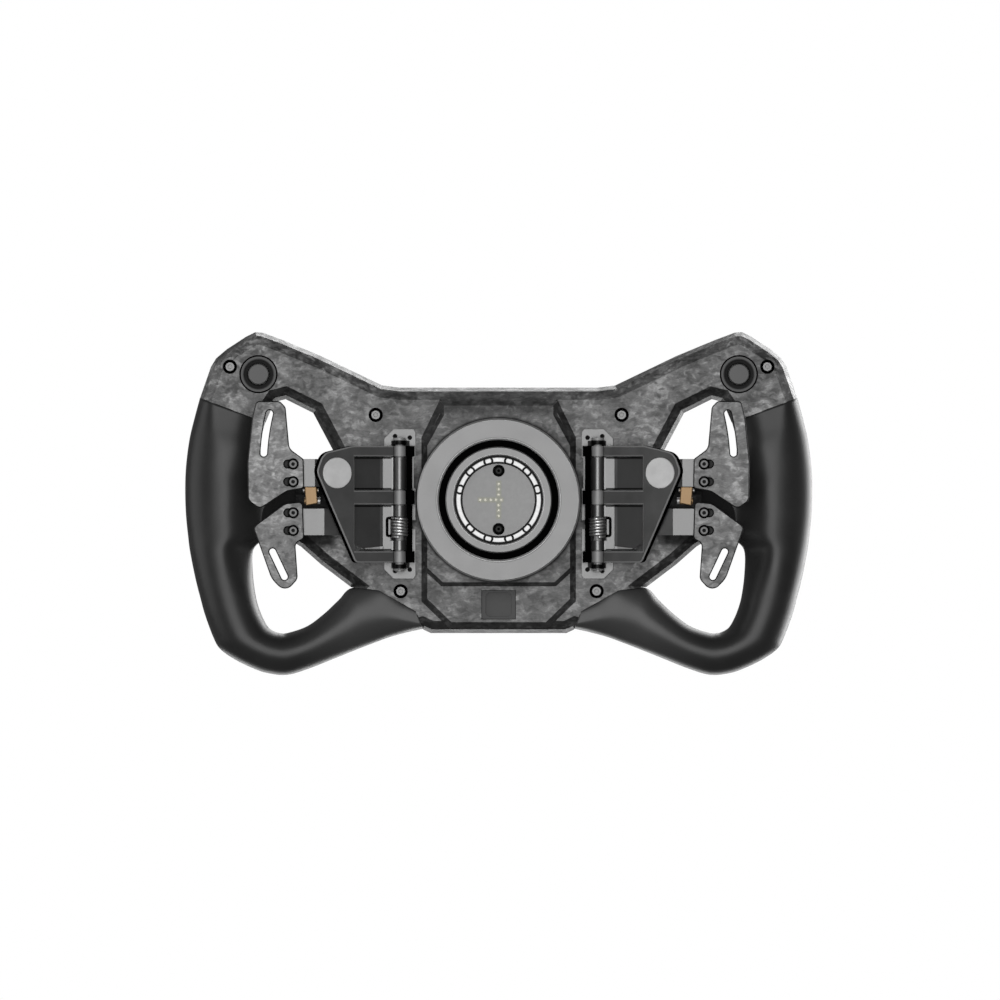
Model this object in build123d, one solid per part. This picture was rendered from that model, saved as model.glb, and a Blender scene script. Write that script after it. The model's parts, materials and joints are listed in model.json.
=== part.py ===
from build123d import *
import os
from math import cos, sin, radians

# A sim racing wheel of the formula kind: a forged-carbon body with two rubber grips, a quick-release hub
# on its rear face and, each side of the hub, a shift paddle and a clutch paddle on one hinge pin.
#
# Millimetres. X runs across the wheel, Z up, and Y from the rear (the steering shaft) to the driver.
# The origin is the centre of the quick-release bore, where its wall starts at the mouth.
# Half outlines are written for the +X side as (x, z) points and mirrored for the other side.

# ---- driving dimensions: depths along Y ----
REAR_FACE = 30.0
FRONT_FACE = 54.0
SPLIT = 42.0
EDGE_CHAMFER = 5.9
SIDE_DRAFT = 2.8
PARTING_LAND = 0.1
WALL = 3.0
RIM_WALL = 9.0
PANEL_RISE = 2.8
PAD_RISE = 1.9
PAD_ROOT = 0.2
PLATE_REAR = 39.5
PLATE_FRONT = 44.5
PLATE_INSET = 3.2
CORE_INSET = 6.0
GRIP_REAR = 27.0
GRIP_FRONT = 57.0
GRIP_CHAMFER = 8.5
BOARD_REAR = 45.4
BOARD_FRONT = 47.0

PLATE_THROUGH = (PLATE_REAR - 1, PLATE_FRONT + 1)
CLEARANCE = 0.05

# ---- driving dimensions: body screws and their posts ----
SCREW_END = 43.5
SCREW_HEAD_R = 2.1
SCREW_SHANK_R = 1.2
SCREW_SOCKET_R = 1.0
SCREW_HEAD_FACE = 0.6
SCREW_PILOT_R = 1.25
SCREW_HOLE_R = 1.5
SINK_R = 3.35
SINK_DEPTH = 3.2
POST_R = 4.6
SMALL_SCREW_R = 0.7
SMALL_HEAD_R = 1.1

# ---- driving dimensions: push buttons and knobs ----
BEZEL_SEAT = 1.2
BEZEL_RECESS_R = 9.1
BUTTON_BORE_R = 7.6
BUTTON_STEM_R = 2.0
REAR_BEZEL_RADII = (8.5, 6.9, 7.5, 5.15)
FRONT_BEZEL_RADII = (9.2, 7.0, 7.5, 6.0)
REAR_CAP_R = 4.95
REAR_CAP_RISE = 1.4
FRONT_CAP_R = 5.8
FRONT_CAP_RISE = 3.6
SWITCH_HALF = 3.0
SWITCH_GAP = 6.6
KNOB_R = 10.0
KNOB_RISE = 11.0
KNOB_SHAFT_R = 3.0
KNOB_SHAFT_HOLE_R = 4.0
KNOB_FLUTE_R = 1.4
KNOB_FLUTE_AT = 10.6
ENCODER_R = 5.0
SENSOR = (50.0, 62.0, 9.0, 1.6)
LENS = (38.0, 37.0, 45.0)
LENS_RISE = 0.8
LENS_GAP = 0.2

# ---- driving dimensions: quick-release hub ----
MOUTH = -0.5
BORE_R = 21.4
BORE_DEPTH = 12.0
TUBE_R = 25.5
SEAT_R = 22.6
LOCK_RING_R = 17.5
LOCK_RING_DEPTH = 6.0
POCKET_R = 1.95
POCKET_AT = 19.3
POCKET_DEPTH = 3.2
POCKET_STEP = 30
POCKETS_LEFT_OUT = (195, 345)
CONTACT_R = 17.4
CONTACT_FACE = 12.6
CONTACT_SCREW_Z = (-14, 14)
CONTACT_SCREW_R = 1.5
CONTACT_HEAD_R = 2.75
CONTACT_SOCKET_R = 1.25
CONTACT_SINK = 2.6
PAD_R = 0.58
FLANGE_R = 36.0
FLANGE_REAR = 26.0
COLLAR_R = 39.2
COLLAR_BORE_R = 28.75
COLLAR_REAR = 1.0
COLLAR_WEB = 15.0
COLLAR_FRONT = 20.0
SLIDE_GAP = 0.1
WAVE_SPRING_R = (28.6, 26.2)
HUB_BOLT_PCD = 64.0
HUB_BOLT_R = 2.05
HUB_BOLT_HEAD_R = 4.25
HUB_BOLT_SINK = 5.2
WIRE_HOLE_R = 8.0
PIN_PITCH = 2.54

# ---- driving dimensions: paddle hinge ----
HINGE_X = 47.6
HINGE_Y = 23.0
PIN_R = 2.0
BARREL_R = 3.05
RUNNING_GAP = 0.06
CARRIER_TILT = 22.0
CARRIER_REAR = 2.0
CARRIER_FRONT = -2.5
CARRIER_CHAMFER = 0.6
SADDLE_FRONT = 28.0
SADDLE = (40.4, 54.0)
SADDLE_REAR = (21.6, 23.5)
SADDLE_BRIDGE = (41.5, 44.2, 25.7)
BLADE_CHAMFER = 0.5
BLADE_SLOT = (6.0, 3.4, 1.25)
BLADE_HEAD_R = 2.7
BLADE_HEAD_RISE = 1.7
BLADE_HEAD_CHAMFER = 0.8
BLADE_SOCKET_R = 0.85
BLADE_SCREW_R = 1.25
ARM_HOLE_R = 1.3
CARRIER_BANDS = ((20.9, 25.9), (-2.2, 4.5), (-30.1, -24.7))
LEVER_BARRELS = ((5.0, 20.4), (-8.0, -2.7), (-24.2, -19.6))
LEVER_FLAT = 23.5
LEVER_ARM_FLAT = 14.1
LEVER_BAND = (-24.2, 20.4)
LEVER_SLOPE = (55.6, 83.7)
LEVER_RIB = 20.6
LEVER_START = 52.0
LEVER_CLEAR = (50.0, 57.5, 0.5)
LEVER_LUG_END = 53.0
SHEET = 2.5
BLADE_THICKNESS = 3.0
SHIFT_ARM_FLAT = 9.3
SHIFT_ARM_BAND = (6.3, 19.6)
ARM_START = 71.5
ARM_END = 103.0
ALONG_PIN = (-40, 40)
BRACKET_REAR = 28.5
BRACKET_EARS = (26.5, -33.0)
EAR_WIDTH = (44.3, 51.0)
EAR_THICKNESS = 2.0
EAR_R = 3.3
PIN_ENDS = (-34.4, 29.2)
PIN_HEAD_R = 2.9
CLIP_R = 3.2
CLIP_GROOVE_R = 1.5
CLIP_GROOVE = (-33.9, -33.3)
MAGNET_R = 7.4
MAGNET_SINK = 1.2
SPRING_WIRE_R = 0.75
SPRING_MEAN_R = 3.1
SPRING_TURNS = 7
SPRING_PITCH = 1.44
SPRING_START = -17.85
BRACKET_NOTCHES = ((40.7, 5.5, 20.2), (42.0, -14.0, -9.8))

# ---- half outlines, +X side ----
SILHOUETTE = [
    (0, 54.0), (47.5, 54.0), (56.1, 55.1), (85.5, 69.2), (103.8, 76.8), (113.4, 80.4), (117.0, 80.7),
    (121.5, 78.5), (130.7, 72.5), (135.9, 68.1), (138.4, 64.0), (145.2, 44.5), (148.8, 28.7), (150.4, 16.0),
    (150.8, 4.0), (150.3, -9.8), (148.4, -25.2), (145.9, -37.7), (141.2, -55.5), (137.1, -66.5),
    (134.0, -71.8), (129.2, -75.5), (118.7, -80.8), (111.4, -83.3), (106.6, -84.2), (101.8, -84.2),
    (91.3, -81.2), (55.5, -67.0), (36.9, -62.1), (32.6, -64.1), (0, -64.1),
]
UPPER_HOLE = [
    (113.4, 34.1), (109.6, 43.1), (106.6, 47.4), (102.5, 48.4), (89.2, 41.8), (79.7, 23.9), (78.6, 12.0),
    (82.0, 8.5), (108.5, 8.5), (113.6, 14.0), (114.5, 27.0),
]
LOWER_HOLE = [
    (98.0, -20.8), (95.1, -22.5), (85.5, -31.0), (71.0, -42.0), (82.5, -53.6), (92.2, -60.8),
    (99.9, -63.7), (104.5, -64.1), (108.3, -63.2), (111.2, -60.9), (113.4, -57.0), (116.7, -46.9),
    (118.7, -29.0), (118.4, -24.7), (116.4, -20.8),
]
GRIP_REGION = [
    (162.0, 55.5), (110.0, 36.4), (110.0, 12.0), (97.5, 12.0), (97.5, -22.0), (92.0, -42.0),
    (71.0, -42.0), (57.6, -43.5), (39.8, -53.6), (39.0, -57.0), (36.4, -61.8), (34.0, -70.0),
    (60.0, -100.0), (162.0, -100.0),
]
PANEL = [(28.0, 48.6), (37.1, 30.0), (37.1, -48.8), (23.8, -61.6)]
HUB_PAD = [(28.4, 47.4), (28.4, 41.2), (36.4, 26.6), (36.4, -33.6), (27.6, -41.7)]
BRACKET = [
    (41.0, 34.0), (50.5, 34.0), (55.0, 29.5), (55.0, -33.4), (50.5, -37.9), (41.0, -37.9), (39.9, -36.4),
    (39.9, 32.5),
]
CARRIER = [(70.0, 25.9), (84.0, 22.4), (87.3, 13.6), (68.6, -30.1)]
CARRIER_CORNERS = [12.0, 6.5, 6.0, 2.5]
CARRIER_POCKET_X = 69.0
LEVER = [
    (51.0, 20.4), (70.3, 20.4), (70.3, 5.5), (72.0, -4.2), (104.0, -4.2), (104.0, -17.0),
    (74.0, -17.0), (64.0, -24.2), (51.0, -24.2),
]
LEVER_RIB_PLAN = [(55.6, -22.2), (66.3, -23.4), (66.3, -24.2), (55.6, -24.2)]
MAIN_BOARD = [
    (0, 32.0), (50.0, 32.0), (66.0, 22.0), (66.0, -16.0), (42.0, -34.0), (26.0, -46.0), (0, -46.0),
]
SHIFT_BLADE = [
    (114.5, 47.4), (105.0, 47.4), (102.2, 44.5), (100.4, 24.6), (93.6, 19.6), (93.3, 5.5), (101.6, 4.1),
    (114.6, -4.4), (120.2, -0.4), (120.5, 18.0), (118.2, 40.0), (116.4, 47.0),
]
SHIFT_BLADE_CORNERS = [1.5, 2.5, 3.0, 4.5, 1.8, 1.8, 6.0, 3.2, 4.0, 20.0, 20.0, 1.5]
CLUTCH_BLADE = [
    (117.9, -13.0), (102.4, -1.6), (94.0, -0.8), (93.4, -18.6), (97.6, -20.9), (96.4, -38.0),
    (102.4, -44.6), (109.0, -38.0),
]
CLUTCH_BLADE_CORNERS = [3.0, 7.0, 2.0, 2.0, 3.0, 4.0, 4.5, 12.0]

# ---- places, +X side ----
BODY_SCREWS = [(129.15, 64.0), (59.1, 40.85), (47.1, -43.9)]
BLADE_SCREW_X = 98.6
SHIFT_SCREW_Z = (17.2, 8.7)
CLUTCH_SCREW_Z = (-6.2, -14.7)
BRACKET_SCREWS = [(49.8, 30.6), (42.7, 29.9), (49.8, -34.2), (42.7, -33.5)]
MAGNET_AT = (77.4, 12.9)
ADJUSTER = [(87.5, 6.3), (93.1, 6.3), (92.4, -2.7), (86.9, -1.6)]
ADJUSTER_DEPTHS = (8.2, 12.2)
ADJUSTER_PINS = ((-0.5, 1.6, 85.6, 93.2), (4.6, 0.9, 86.4, 93.9))
REAR_BUTTON_AT = (115.45, 60.4)
FRONT_BUTTONS = [(118.0, 58.0), (93.0, 54.0), (66.0, 34.0)]
KNOB_AT = (57.0, -8.0)
PORT = (16.5, 14.0, -50.4)
PORT_DISH = (12.4, 11.6, 2.2)


def both(points):
    """A closed outline from its +X half, which starts and ends on or near the centre line."""
    return points + [(-x, z) for x, z in reversed(points) if x > 0]


def flat(points, corners=0.0):
    """A face from (x, z) points, with its corners rounded where corners says so."""
    if not corners:
        return make_face(Polyline(*points, close=True))
    return make_face(FilletPolyline(*points, radius=corners, close=True))


def layer(sketch, y_from, y_to):
    """An (x, z) sketch made solid between two depths."""
    return extrude(Plane.XZ.offset(-y_from) * sketch, amount=y_from - y_to)


def block(x_from, x_to, y_from, y_to, z_from, z_to):
    """A box between two corners."""
    size = (x_to - x_from, y_to - y_from, z_to - z_from)
    middle = ((x_from + x_to) / 2, (y_from + y_to) / 2, (z_from + z_to) / 2)
    return Pos(*middle) * Box(*size)


def disc(x, z, radius, y_from, y_to):
    """A cylinder along Y."""
    return Pos(x, (y_from + y_to) / 2, z) * Rot(90, 0, 0) * Cylinder(radius, y_to - y_from)


def ring(x, z, outer, inner, y_from, y_to):
    """A tube along Y."""
    return disc(x, z, outer, y_from, y_to) - disc(x, z, inner, y_from - 1, y_to + 1)


def upright(radius, z_from, z_to):
    """A cylinder along Z on the hinge axis."""
    return Pos(HINGE_X, HINGE_Y, (z_from + z_to) / 2) * Cylinder(radius, z_to - z_from)


def mirrored(part):
    """The same piece on the -X side."""
    return mirror(part, about=Plane.YZ)


def both_sides(part):
    """A piece and its mirror image, joined."""
    return part + mirrored(part)


def group(*parts):
    """Separate solids kept in one node."""
    return Compound(children=[solid for part in parts for solid in part.solids()])


def rim_edges(part, depth):
    """The edges of a slab that lie in one plane across Y."""
    return [edge for edge in part.edges() if all(abs(v.Y - depth) < 0.01 for v in edge.vertices())]


def slab(y_rear, y_front, edge_chamfer, draft=0.0):
    """The whole wheel's outline with its finger holes, bevelled and drafted towards both faces."""
    plan = flat(both(SILHOUETTE))
    for hole in (UPPER_HOLE, LOWER_HOLE):
        plan -= flat(hole)
        plan -= flat([(-x, z) for x, z in hole])
    body = layer(plan, y_rear, y_front)
    bevelled = chamfer(rim_edges(body, y_rear) + rim_edges(body, y_front), edge_chamfer)
    if draft:
        height = (y_front - y_rear) / 2 - PARTING_LAND
        for y_face in (y_rear, y_front):
            face = next(f for f in body.faces().filter_by(Axis.Y) if abs(f.center().Y - y_face) < 0.01)
            bevelled &= chamfer(rim_edges(body, y_face), draft, height, reference=face)
    return bevelled


def raised(points, y_base, rise):
    """A pad with sides at 45 degrees that stands towards the rear from y_base."""
    pad = layer(flat(both(points)), y_base - rise, y_base + 1.0)
    return chamfer(rim_edges(pad, y_base - rise), rise)


def inset_plan(amount, y_from, y_to):
    """The wheel's outline pulled in from every edge."""
    plan = flat(both(SILHOUETTE))
    for hole in (UPPER_HOLE, LOWER_HOLE):
        plan -= flat(hole)
        plan -= flat([(-x, z) for x, z in hole])
    return layer(offset(plan, amount=-amount, kind=Kind.INTERSECTION), y_from, y_to)


def grip_region():
    """The space that the +X grip fills, through the whole depth."""
    return layer(flat(GRIP_REGION), GRIP_REAR - 5, GRIP_FRONT + 5)


def boss_ring(outer, wall, lip, inner, y_face, y_wall, y_floor, y_end):
    """A button bezel turned from its half section: a flange on the shell, a cup and a guide bore."""
    section = [
        (inner, y_floor), (wall, y_floor), (wall, y_face), (outer, y_face), (outer, y_wall),
        (lip, y_wall), (lip, y_end), (inner, y_end),
    ]
    profile = make_face(Polyline(*section, close=True))
    return revolve(profile, Axis.Y)


# ---- chassis and shells ----
def make_frame_plate():
    seat = inset_plan(PLATE_INSET, PLATE_REAR, PLATE_FRONT) - both_sides(grip_region())
    core = inset_plan(CORE_INSET, PLATE_REAR, PLATE_FRONT)
    plate = seat + core
    holes = [disc(0, 0, WIRE_HOLE_R, *PLATE_THROUGH)]
    holes += [disc(x, z, HUB_BOLT_R + CLEARANCE, *PLATE_THROUGH) for x, z in hub_bolt_places()]
    holes += [disc(0, z, CONTACT_SCREW_R + CLEARANCE, *PLATE_THROUGH) for z in CONTACT_SCREW_Z]
    holes += [both_sides(disc(x, z, SCREW_PILOT_R, *PLATE_THROUGH)) for x, z in BODY_SCREWS]
    holes.append(both_sides(disc(*KNOB_AT, KNOB_SHAFT_HOLE_R, *PLATE_THROUGH)))
    for hole in holes:
        plate -= hole
    return plate


def hub_bolt_places():
    """Six bolts on the flange, none on the horizontal centre line."""
    radius = HUB_BOLT_PCD / 2
    return [(radius * cos(radians(a)), radius * sin(radians(a))) for a in range(30, 390, 60)]


def make_rear_shell():
    shell = body_slab & block(-200, 200, REAR_FACE - 1, SPLIT, -200, 200)
    shell += raised(PANEL, REAR_FACE, PANEL_RISE)
    shell += raised(HUB_PAD, REAR_FACE - PANEL_RISE + PAD_ROOT, PAD_RISE + PAD_ROOT)
    shell -= inset_plan(PLATE_INSET, PLATE_REAR, SPLIT + 1)
    shell -= inset_plan(RIM_WALL, REAR_FACE + WALL, PLATE_REAR + 1)
    shell -= both_sides(grip_region())
    shell -= disc(0, 0, FLANGE_R + 0.3, REAR_FACE - 10, SPLIT)
    for x, z in BODY_SCREWS:
        hole = disc(x, z, SCREW_HOLE_R, REAR_FACE, SPLIT)
        sink = disc(x, z, SINK_R, REAR_FACE - 1, REAR_FACE + SINK_DEPTH)
        post = disc(x, z, POST_R, REAR_FACE + 1, PLATE_REAR) - hole
        shell = shell + both_sides(post) - both_sides(sink + hole)
    x, z = REAR_BUTTON_AT
    shell -= both_sides(disc(x, z, BUTTON_BORE_R, REAR_FACE - 1, PLATE_REAR))
    shell -= both_sides(disc(x, z, BEZEL_RECESS_R, REAR_FACE - 1, REAR_FACE + BEZEL_SEAT))
    width, height, z = PORT
    shell -= block(-width / 2, width / 2, REAR_FACE - 5, REAR_FACE + 4, z - height / 2, z + height / 2)
    for x, z in BRACKET_SCREWS:
        shell -= both_sides(disc(x, z, SMALL_SCREW_R + 2 * CLEARANCE, REAR_FACE - 1, REAR_FACE + 2))
    return shell


def make_front_shell():
    shell = body_slab & block(-200, 200, SPLIT, FRONT_FACE + 1, -200, 200)
    shell -= inset_plan(PLATE_INSET, SPLIT - 1, PLATE_FRONT)
    shell -= inset_plan(RIM_WALL, PLATE_FRONT - 1, FRONT_FACE - WALL)
    shell -= both_sides(grip_region())
    for x, z in FRONT_BUTTONS:
        shell -= both_sides(disc(x, z, BUTTON_BORE_R, PLATE_FRONT, FRONT_FACE + 1))
    shell -= both_sides(disc(*KNOB_AT, ENCODER_R + LENS_GAP, PLATE_FRONT, FRONT_FACE + 1))
    half, low, high = LENS
    window = (-half - LENS_GAP, half + LENS_GAP, PLATE_FRONT + 1, FRONT_FACE + 1)
    return shell - block(*window, low - LENS_GAP, high + LENS_GAP)


def make_grip():
    grip = grip_slab & grip_region()
    return grip - inset_plan(CORE_INSET, PLATE_REAR, PLATE_FRONT)


def make_body_screws():
    screws = []
    for x, z in BODY_SCREWS:
        screw = disc(x, z, SCREW_HEAD_R, REAR_FACE + SCREW_HEAD_FACE, REAR_FACE + SINK_DEPTH)
        screw += disc(x, z, SCREW_SHANK_R, REAR_FACE + 2, SCREW_END)
        screw -= disc(x, z, SCREW_SOCKET_R, REAR_FACE, REAR_FACE + 1.4)
        screws += [screw, mirrored(screw)]
    return group(*screws)


# ---- hub ----
def make_hub_flange():
    flange = ring(0, 0, FLANGE_R, TUBE_R, FLANGE_REAR, PLATE_REAR)
    for x, z in hub_bolt_places():
        flange -= disc(x, z, HUB_BOLT_HEAD_R + 0.35, FLANGE_REAR - 1, FLANGE_REAR + HUB_BOLT_SINK)
        flange -= disc(x, z, HUB_BOLT_R + 0.55, FLANGE_REAR, PLATE_REAR + 1)
    return flange


def make_hub_receiver():
    """The bored tube: the shaft's bore at its mouth, a wider seat for the lock ring behind it."""
    tube = disc(0, 0, TUBE_R, MOUTH, PLATE_REAR - 0.2)
    tube = chamfer(rim_edges(tube, MOUTH), 0.5)
    tube -= disc(0, 0, BORE_R, MOUTH - 1, BORE_DEPTH + 1)
    tube -= disc(0, 0, SEAT_R, BORE_DEPTH, PLATE_REAR + 1)
    tube -= Pos(0, MOUTH / 2, 0) * Rot(90, 0, 0) * Cone(BORE_R, BORE_R - MOUTH, -MOUTH)
    return tube - ring(0, 0, TUBE_R + 1, TUBE_R - 0.7, COLLAR_WEB - 1.4, COLLAR_WEB - 0.1)


def make_hub_bolts():
    bolts = []
    for x, z in hub_bolt_places():
        bolt = disc(x, z, HUB_BOLT_HEAD_R, FLANGE_REAR + 0.2, FLANGE_REAR + HUB_BOLT_SINK)
        bolt += disc(x, z, HUB_BOLT_R, FLANGE_REAR + 5, SCREW_END)
        bolts.append(bolt - disc(x, z, 2.0, FLANGE_REAR, FLANGE_REAR + 3.0))
    return group(*bolts)


def make_lock_ring():
    """The ring that the shaft's locking balls seat in: pockets every 30 degrees, open to the inside."""
    lock = ring(0, 0, SEAT_R - 0.02, LOCK_RING_R, BORE_DEPTH, BORE_DEPTH + LOCK_RING_DEPTH)
    for angle in range(15, 375, POCKET_STEP):
        if angle in POCKETS_LEFT_OUT:
            continue
        x = POCKET_AT * cos(radians(angle))
        z = POCKET_AT * sin(radians(angle))
        lock -= disc(x, z, POCKET_R, BORE_DEPTH - 1, BORE_DEPTH + POCKET_DEPTH)
    return lock


def make_contact_block():
    """A moulded cup that carries the pads in the bore and stands on the frame plate."""
    shoulder = BORE_DEPTH + LOCK_RING_DEPTH
    body = disc(0, 0, CONTACT_R, CONTACT_FACE, shoulder + 1)
    body += disc(0, 0, SEAT_R - 0.1, shoulder + 0.02, PLATE_REAR - 0.1)
    body -= disc(0, 0, SEAT_R - WALL, shoulder + 4, PLATE_REAR)
    for z in CONTACT_SCREW_Z:
        body += disc(0, z, CONTACT_HEAD_R + 0.65, shoulder + 3, PLATE_REAR - 0.1)
    for z in CONTACT_SCREW_Z:
        body -= disc(0, z, CONTACT_HEAD_R + 0.15, CONTACT_FACE - 1, CONTACT_FACE + CONTACT_SINK)
        body -= disc(0, z, CONTACT_SCREW_R + CLEARANCE, CONTACT_FACE, PLATE_REAR + 1)
    for x, z in contact_places():
        body -= disc(x, z, PAD_R + 0.02, CONTACT_FACE - 1, CONTACT_FACE + 1.2)
    return body


def contact_places():
    """A column of six pads and a row of five, on one pitch."""
    column = [(0.0, step * PIN_PITCH) for step in (-3, -2, -1, 1, 2, 3)]
    row = [((step - 0.5) * PIN_PITCH, 0.0) for step in range(-3, 2)]
    return column + row


def make_contact_screws():
    screws = []
    for z in CONTACT_SCREW_Z:
        screw = disc(0, z, CONTACT_HEAD_R, CONTACT_FACE + 0.3, CONTACT_FACE + CONTACT_SINK)
        screw += disc(0, z, CONTACT_SCREW_R, CONTACT_FACE + 2, PLATE_FRONT - 1)
        screws.append(screw - disc(0, z, CONTACT_SOCKET_R, CONTACT_FACE, CONTACT_FACE + 1.8))
    return group(*screws)


def make_contact_pads():
    return group(*[disc(x, z, PAD_R, CONTACT_FACE - 0.1, CONTACT_FACE + 1.2) for x, z in contact_places()])


def make_release_collar():
    collar = ring(0, 0, COLLAR_R, COLLAR_BORE_R, COLLAR_REAR, COLLAR_WEB)
    collar = chamfer(rim_edges(collar, COLLAR_REAR), 0.8)
    collar += ring(0, 0, COLLAR_R, TUBE_R + SLIDE_GAP, COLLAR_WEB, COLLAR_FRONT)
    return collar


def make_collar_clip():
    clip = ring(0, 0, COLLAR_BORE_R - 0.4, TUBE_R - 0.7, COLLAR_WEB - 1.3, COLLAR_WEB - 0.2)
    return clip - block(-2.0, 2.0, 0, 20, 20, 40)


def make_collar_spring():
    """A wave spring between the collar's web and the flange."""
    outer, inner = WAVE_SPRING_R
    return ring(0, 0, outer, inner, COLLAR_FRONT + 0.1, FLANGE_REAR - 0.1)


# ---- rear face fittings ----
def make_rear_bezels():
    depths = (REAR_FACE - 0.3, REAR_FACE + BEZEL_SEAT, REAR_FACE + 2.4, REAR_FACE + 5.0)
    bezel = boss_ring(*REAR_BEZEL_RADII, *depths)
    bezel = Pos(REAR_BUTTON_AT[0], 0, REAR_BUTTON_AT[1]) * bezel
    return group(bezel, mirrored(bezel))


def make_rear_button():
    x, z = REAR_BUTTON_AT
    cap = disc(x, z, REAR_CAP_R, REAR_FACE - REAR_CAP_RISE, REAR_FACE + 3.4)
    cap = chamfer(rim_edges(cap, REAR_FACE - REAR_CAP_RISE), 0.4)
    return cap + disc(x, z, BUTTON_STEM_R, REAR_FACE + 3, REAR_FACE + 5.0)


def make_port_plug():
    """A moulded plug flush with the panel: a frame, a shallow dished middle and a tongue behind."""
    width, height, z = PORT
    face = REAR_FACE - PANEL_RISE
    edge = Pos(0, z) * RectangleRounded(width - 0.3, height - 0.3, 0.6)
    dish = Pos(0, z) * RectangleRounded(*PORT_DISH)
    plug = layer(edge, face + 0.3, face + 2.6) - layer(dish, face, face + 1.1)
    return plug + block(-4.0, 4.0, face + 2.6, face + 6.5, z - 1.4, z + 1.4)


# ---- paddle mechanism, +X side ----
def carrier_plane():
    """The plane of the tilted carrier, through the hinge axis, facing the rear."""
    c, s = cos(radians(CARRIER_TILT)), sin(radians(CARRIER_TILT))
    return Plane(origin=(HINGE_X, HINGE_Y, 0), x_dir=(c, -s, 0), z_dir=(-s, -c, 0))


def along_carrier(x):
    """Distance along the carrier's rear surface to where it stands at x."""
    c, s = cos(radians(CARRIER_TILT)), sin(radians(CARRIER_TILT))
    return (x - HINGE_X + CARRIER_REAR * s) / c


def make_hinge_bracket():
    """A stamped base with two folded ears for the pin, notched beside the carrier's knuckles."""
    bracket = layer(flat(BRACKET), BRACKET_REAR, REAR_FACE)
    for x_depth, z_low, z_high in BRACKET_NOTCHES:
        bracket -= block(30.0, x_depth, BRACKET_REAR - 1, REAR_FACE + 1, z_low, z_high)
    for z in BRACKET_EARS:
        ear = block(*EAR_WIDTH, HINGE_Y, BRACKET_REAR + 0.5, z, z + EAR_THICKNESS)
        ear += upright(EAR_R, z, z + EAR_THICKNESS)
        bracket += ear
    bracket -= upright(PIN_R, *ALONG_PIN)
    for x, z in BRACKET_SCREWS:
        bracket -= disc(x, z, SMALL_SCREW_R + CLEARANCE, BRACKET_REAR - 1, REAR_FACE + 1)
    return bracket


def make_bracket_screws():
    screws = []
    for x, z in BRACKET_SCREWS:
        screw = disc(x, z, SMALL_HEAD_R, BRACKET_REAR - 0.5, BRACKET_REAR)
        screw += disc(x, z, SMALL_SCREW_R, BRACKET_REAR - 0.1, REAR_FACE + 2)
        screws += [screw, mirrored(screw)]
    return group(*screws)


def make_hinge_pin():
    """The pin, its clip, and the sleeves that the carrier's saddles turn on."""
    z_low, z_high = PIN_ENDS
    pin = upright(PIN_R - 0.01, z_low, z_high)
    pin += upright(PIN_HEAD_R, z_high - 0.6, z_high + 0.6)
    z_low, z_high = CLIP_GROOVE
    waist = upright(CLIP_GROOVE_R, z_low, z_high)
    pin -= upright(PIN_R + 1, z_low, z_high) - waist
    clip = upright(CLIP_R, z_low + 0.05, z_high - 0.05) - waist
    clip -= block(HINGE_X - 0.8, HINGE_X + 0.8, 15, HINGE_Y, z_low, z_high)
    sleeves = []
    for z_low, z_high in CARRIER_BANDS:
        sleeves.append(upright(BARREL_R, z_low + 0.05, z_high - 0.05) - upright(PIN_R - 0.01, *ALONG_PIN))
    return group(pin, clip, *sleeves)


def make_shift_carrier():
    outline = [(0, 25.9)] + [(along_carrier(x), z) for x, z in CARRIER] + [(0, -30.1)]
    plan = flat(outline, [0.0] + CARRIER_CORNERS + [0.0])
    pocket_end = along_carrier(CARRIER_POCKET_X)
    for lower, upper in zip(CARRIER_BANDS[1:], CARRIER_BANDS[:-1]):
        z_low, z_high = lower[1], upper[0]
        plan -= Pos(pocket_end / 2, (z_low + z_high) / 2) * Rectangle(pocket_end, z_high - z_low)
    plate = extrude(plan, amount=CARRIER_REAR - CARRIER_FRONT)
    plate = chamfer(plate.edges().group_by(Axis.Z)[-1], CARRIER_CHAMFER)
    carrier = carrier_plane() * Pos(0, 0, CARRIER_FRONT) * plate
    x_from, x_to = SADDLE
    for z_low, z_high in CARRIER_BANDS:
        carrier += block(x_from, HINGE_X, SADDLE_REAR[0], SADDLE_FRONT, z_low, z_high)
        carrier += block(HINGE_X, x_to, SADDLE_REAR[1], SADDLE_FRONT, z_low, z_high)
    x_from, x_to, y_from = SADDLE_BRIDGE
    carrier += block(x_from, x_to, y_from, SADDLE_FRONT, CARRIER_BANDS[-1][0], CARRIER_BANDS[0][1])
    carrier -= upright(BARREL_R + RUNNING_GAP, *ALONG_PIN)
    carrier -= block(HINGE_X - 3.0, HINGE_X + 3.0, 10.0, HINGE_Y, *ALONG_PIN)
    return carrier - magnet_seat(MAGNET_R + 0.1, 4.0)


def magnet_seat(radius, height):
    """A disc on the carrier's rear surface, sunk into it."""
    base = Pos(along_carrier(MAGNET_AT[0]), MAGNET_AT[1], CARRIER_REAR - MAGNET_SINK)
    return carrier_plane() * base * Cylinder(radius, height, align=(Align.CENTER, Align.CENTER, Align.MIN))


def make_magnet_cap():
    cap = magnet_seat(MAGNET_R, MAGNET_SINK + 0.3)
    rear_edge = cap.edges().filter_by(GeomType.CIRCLE).sort_by(Axis.Y)[0]
    return chamfer(rear_edge, 0.3)


def bent_sheet(corners, thickness, z_from, z_to):
    """A bent strip: its rear surface follows (x, y) corners, and its thickness is taken along Y."""
    front = [(x, y + thickness) for x, y in reversed(corners)]
    section = make_face(Polyline(*(corners + front), close=True))
    return extrude(Plane.XY.offset(z_from) * section, amount=z_to - z_from)


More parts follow.
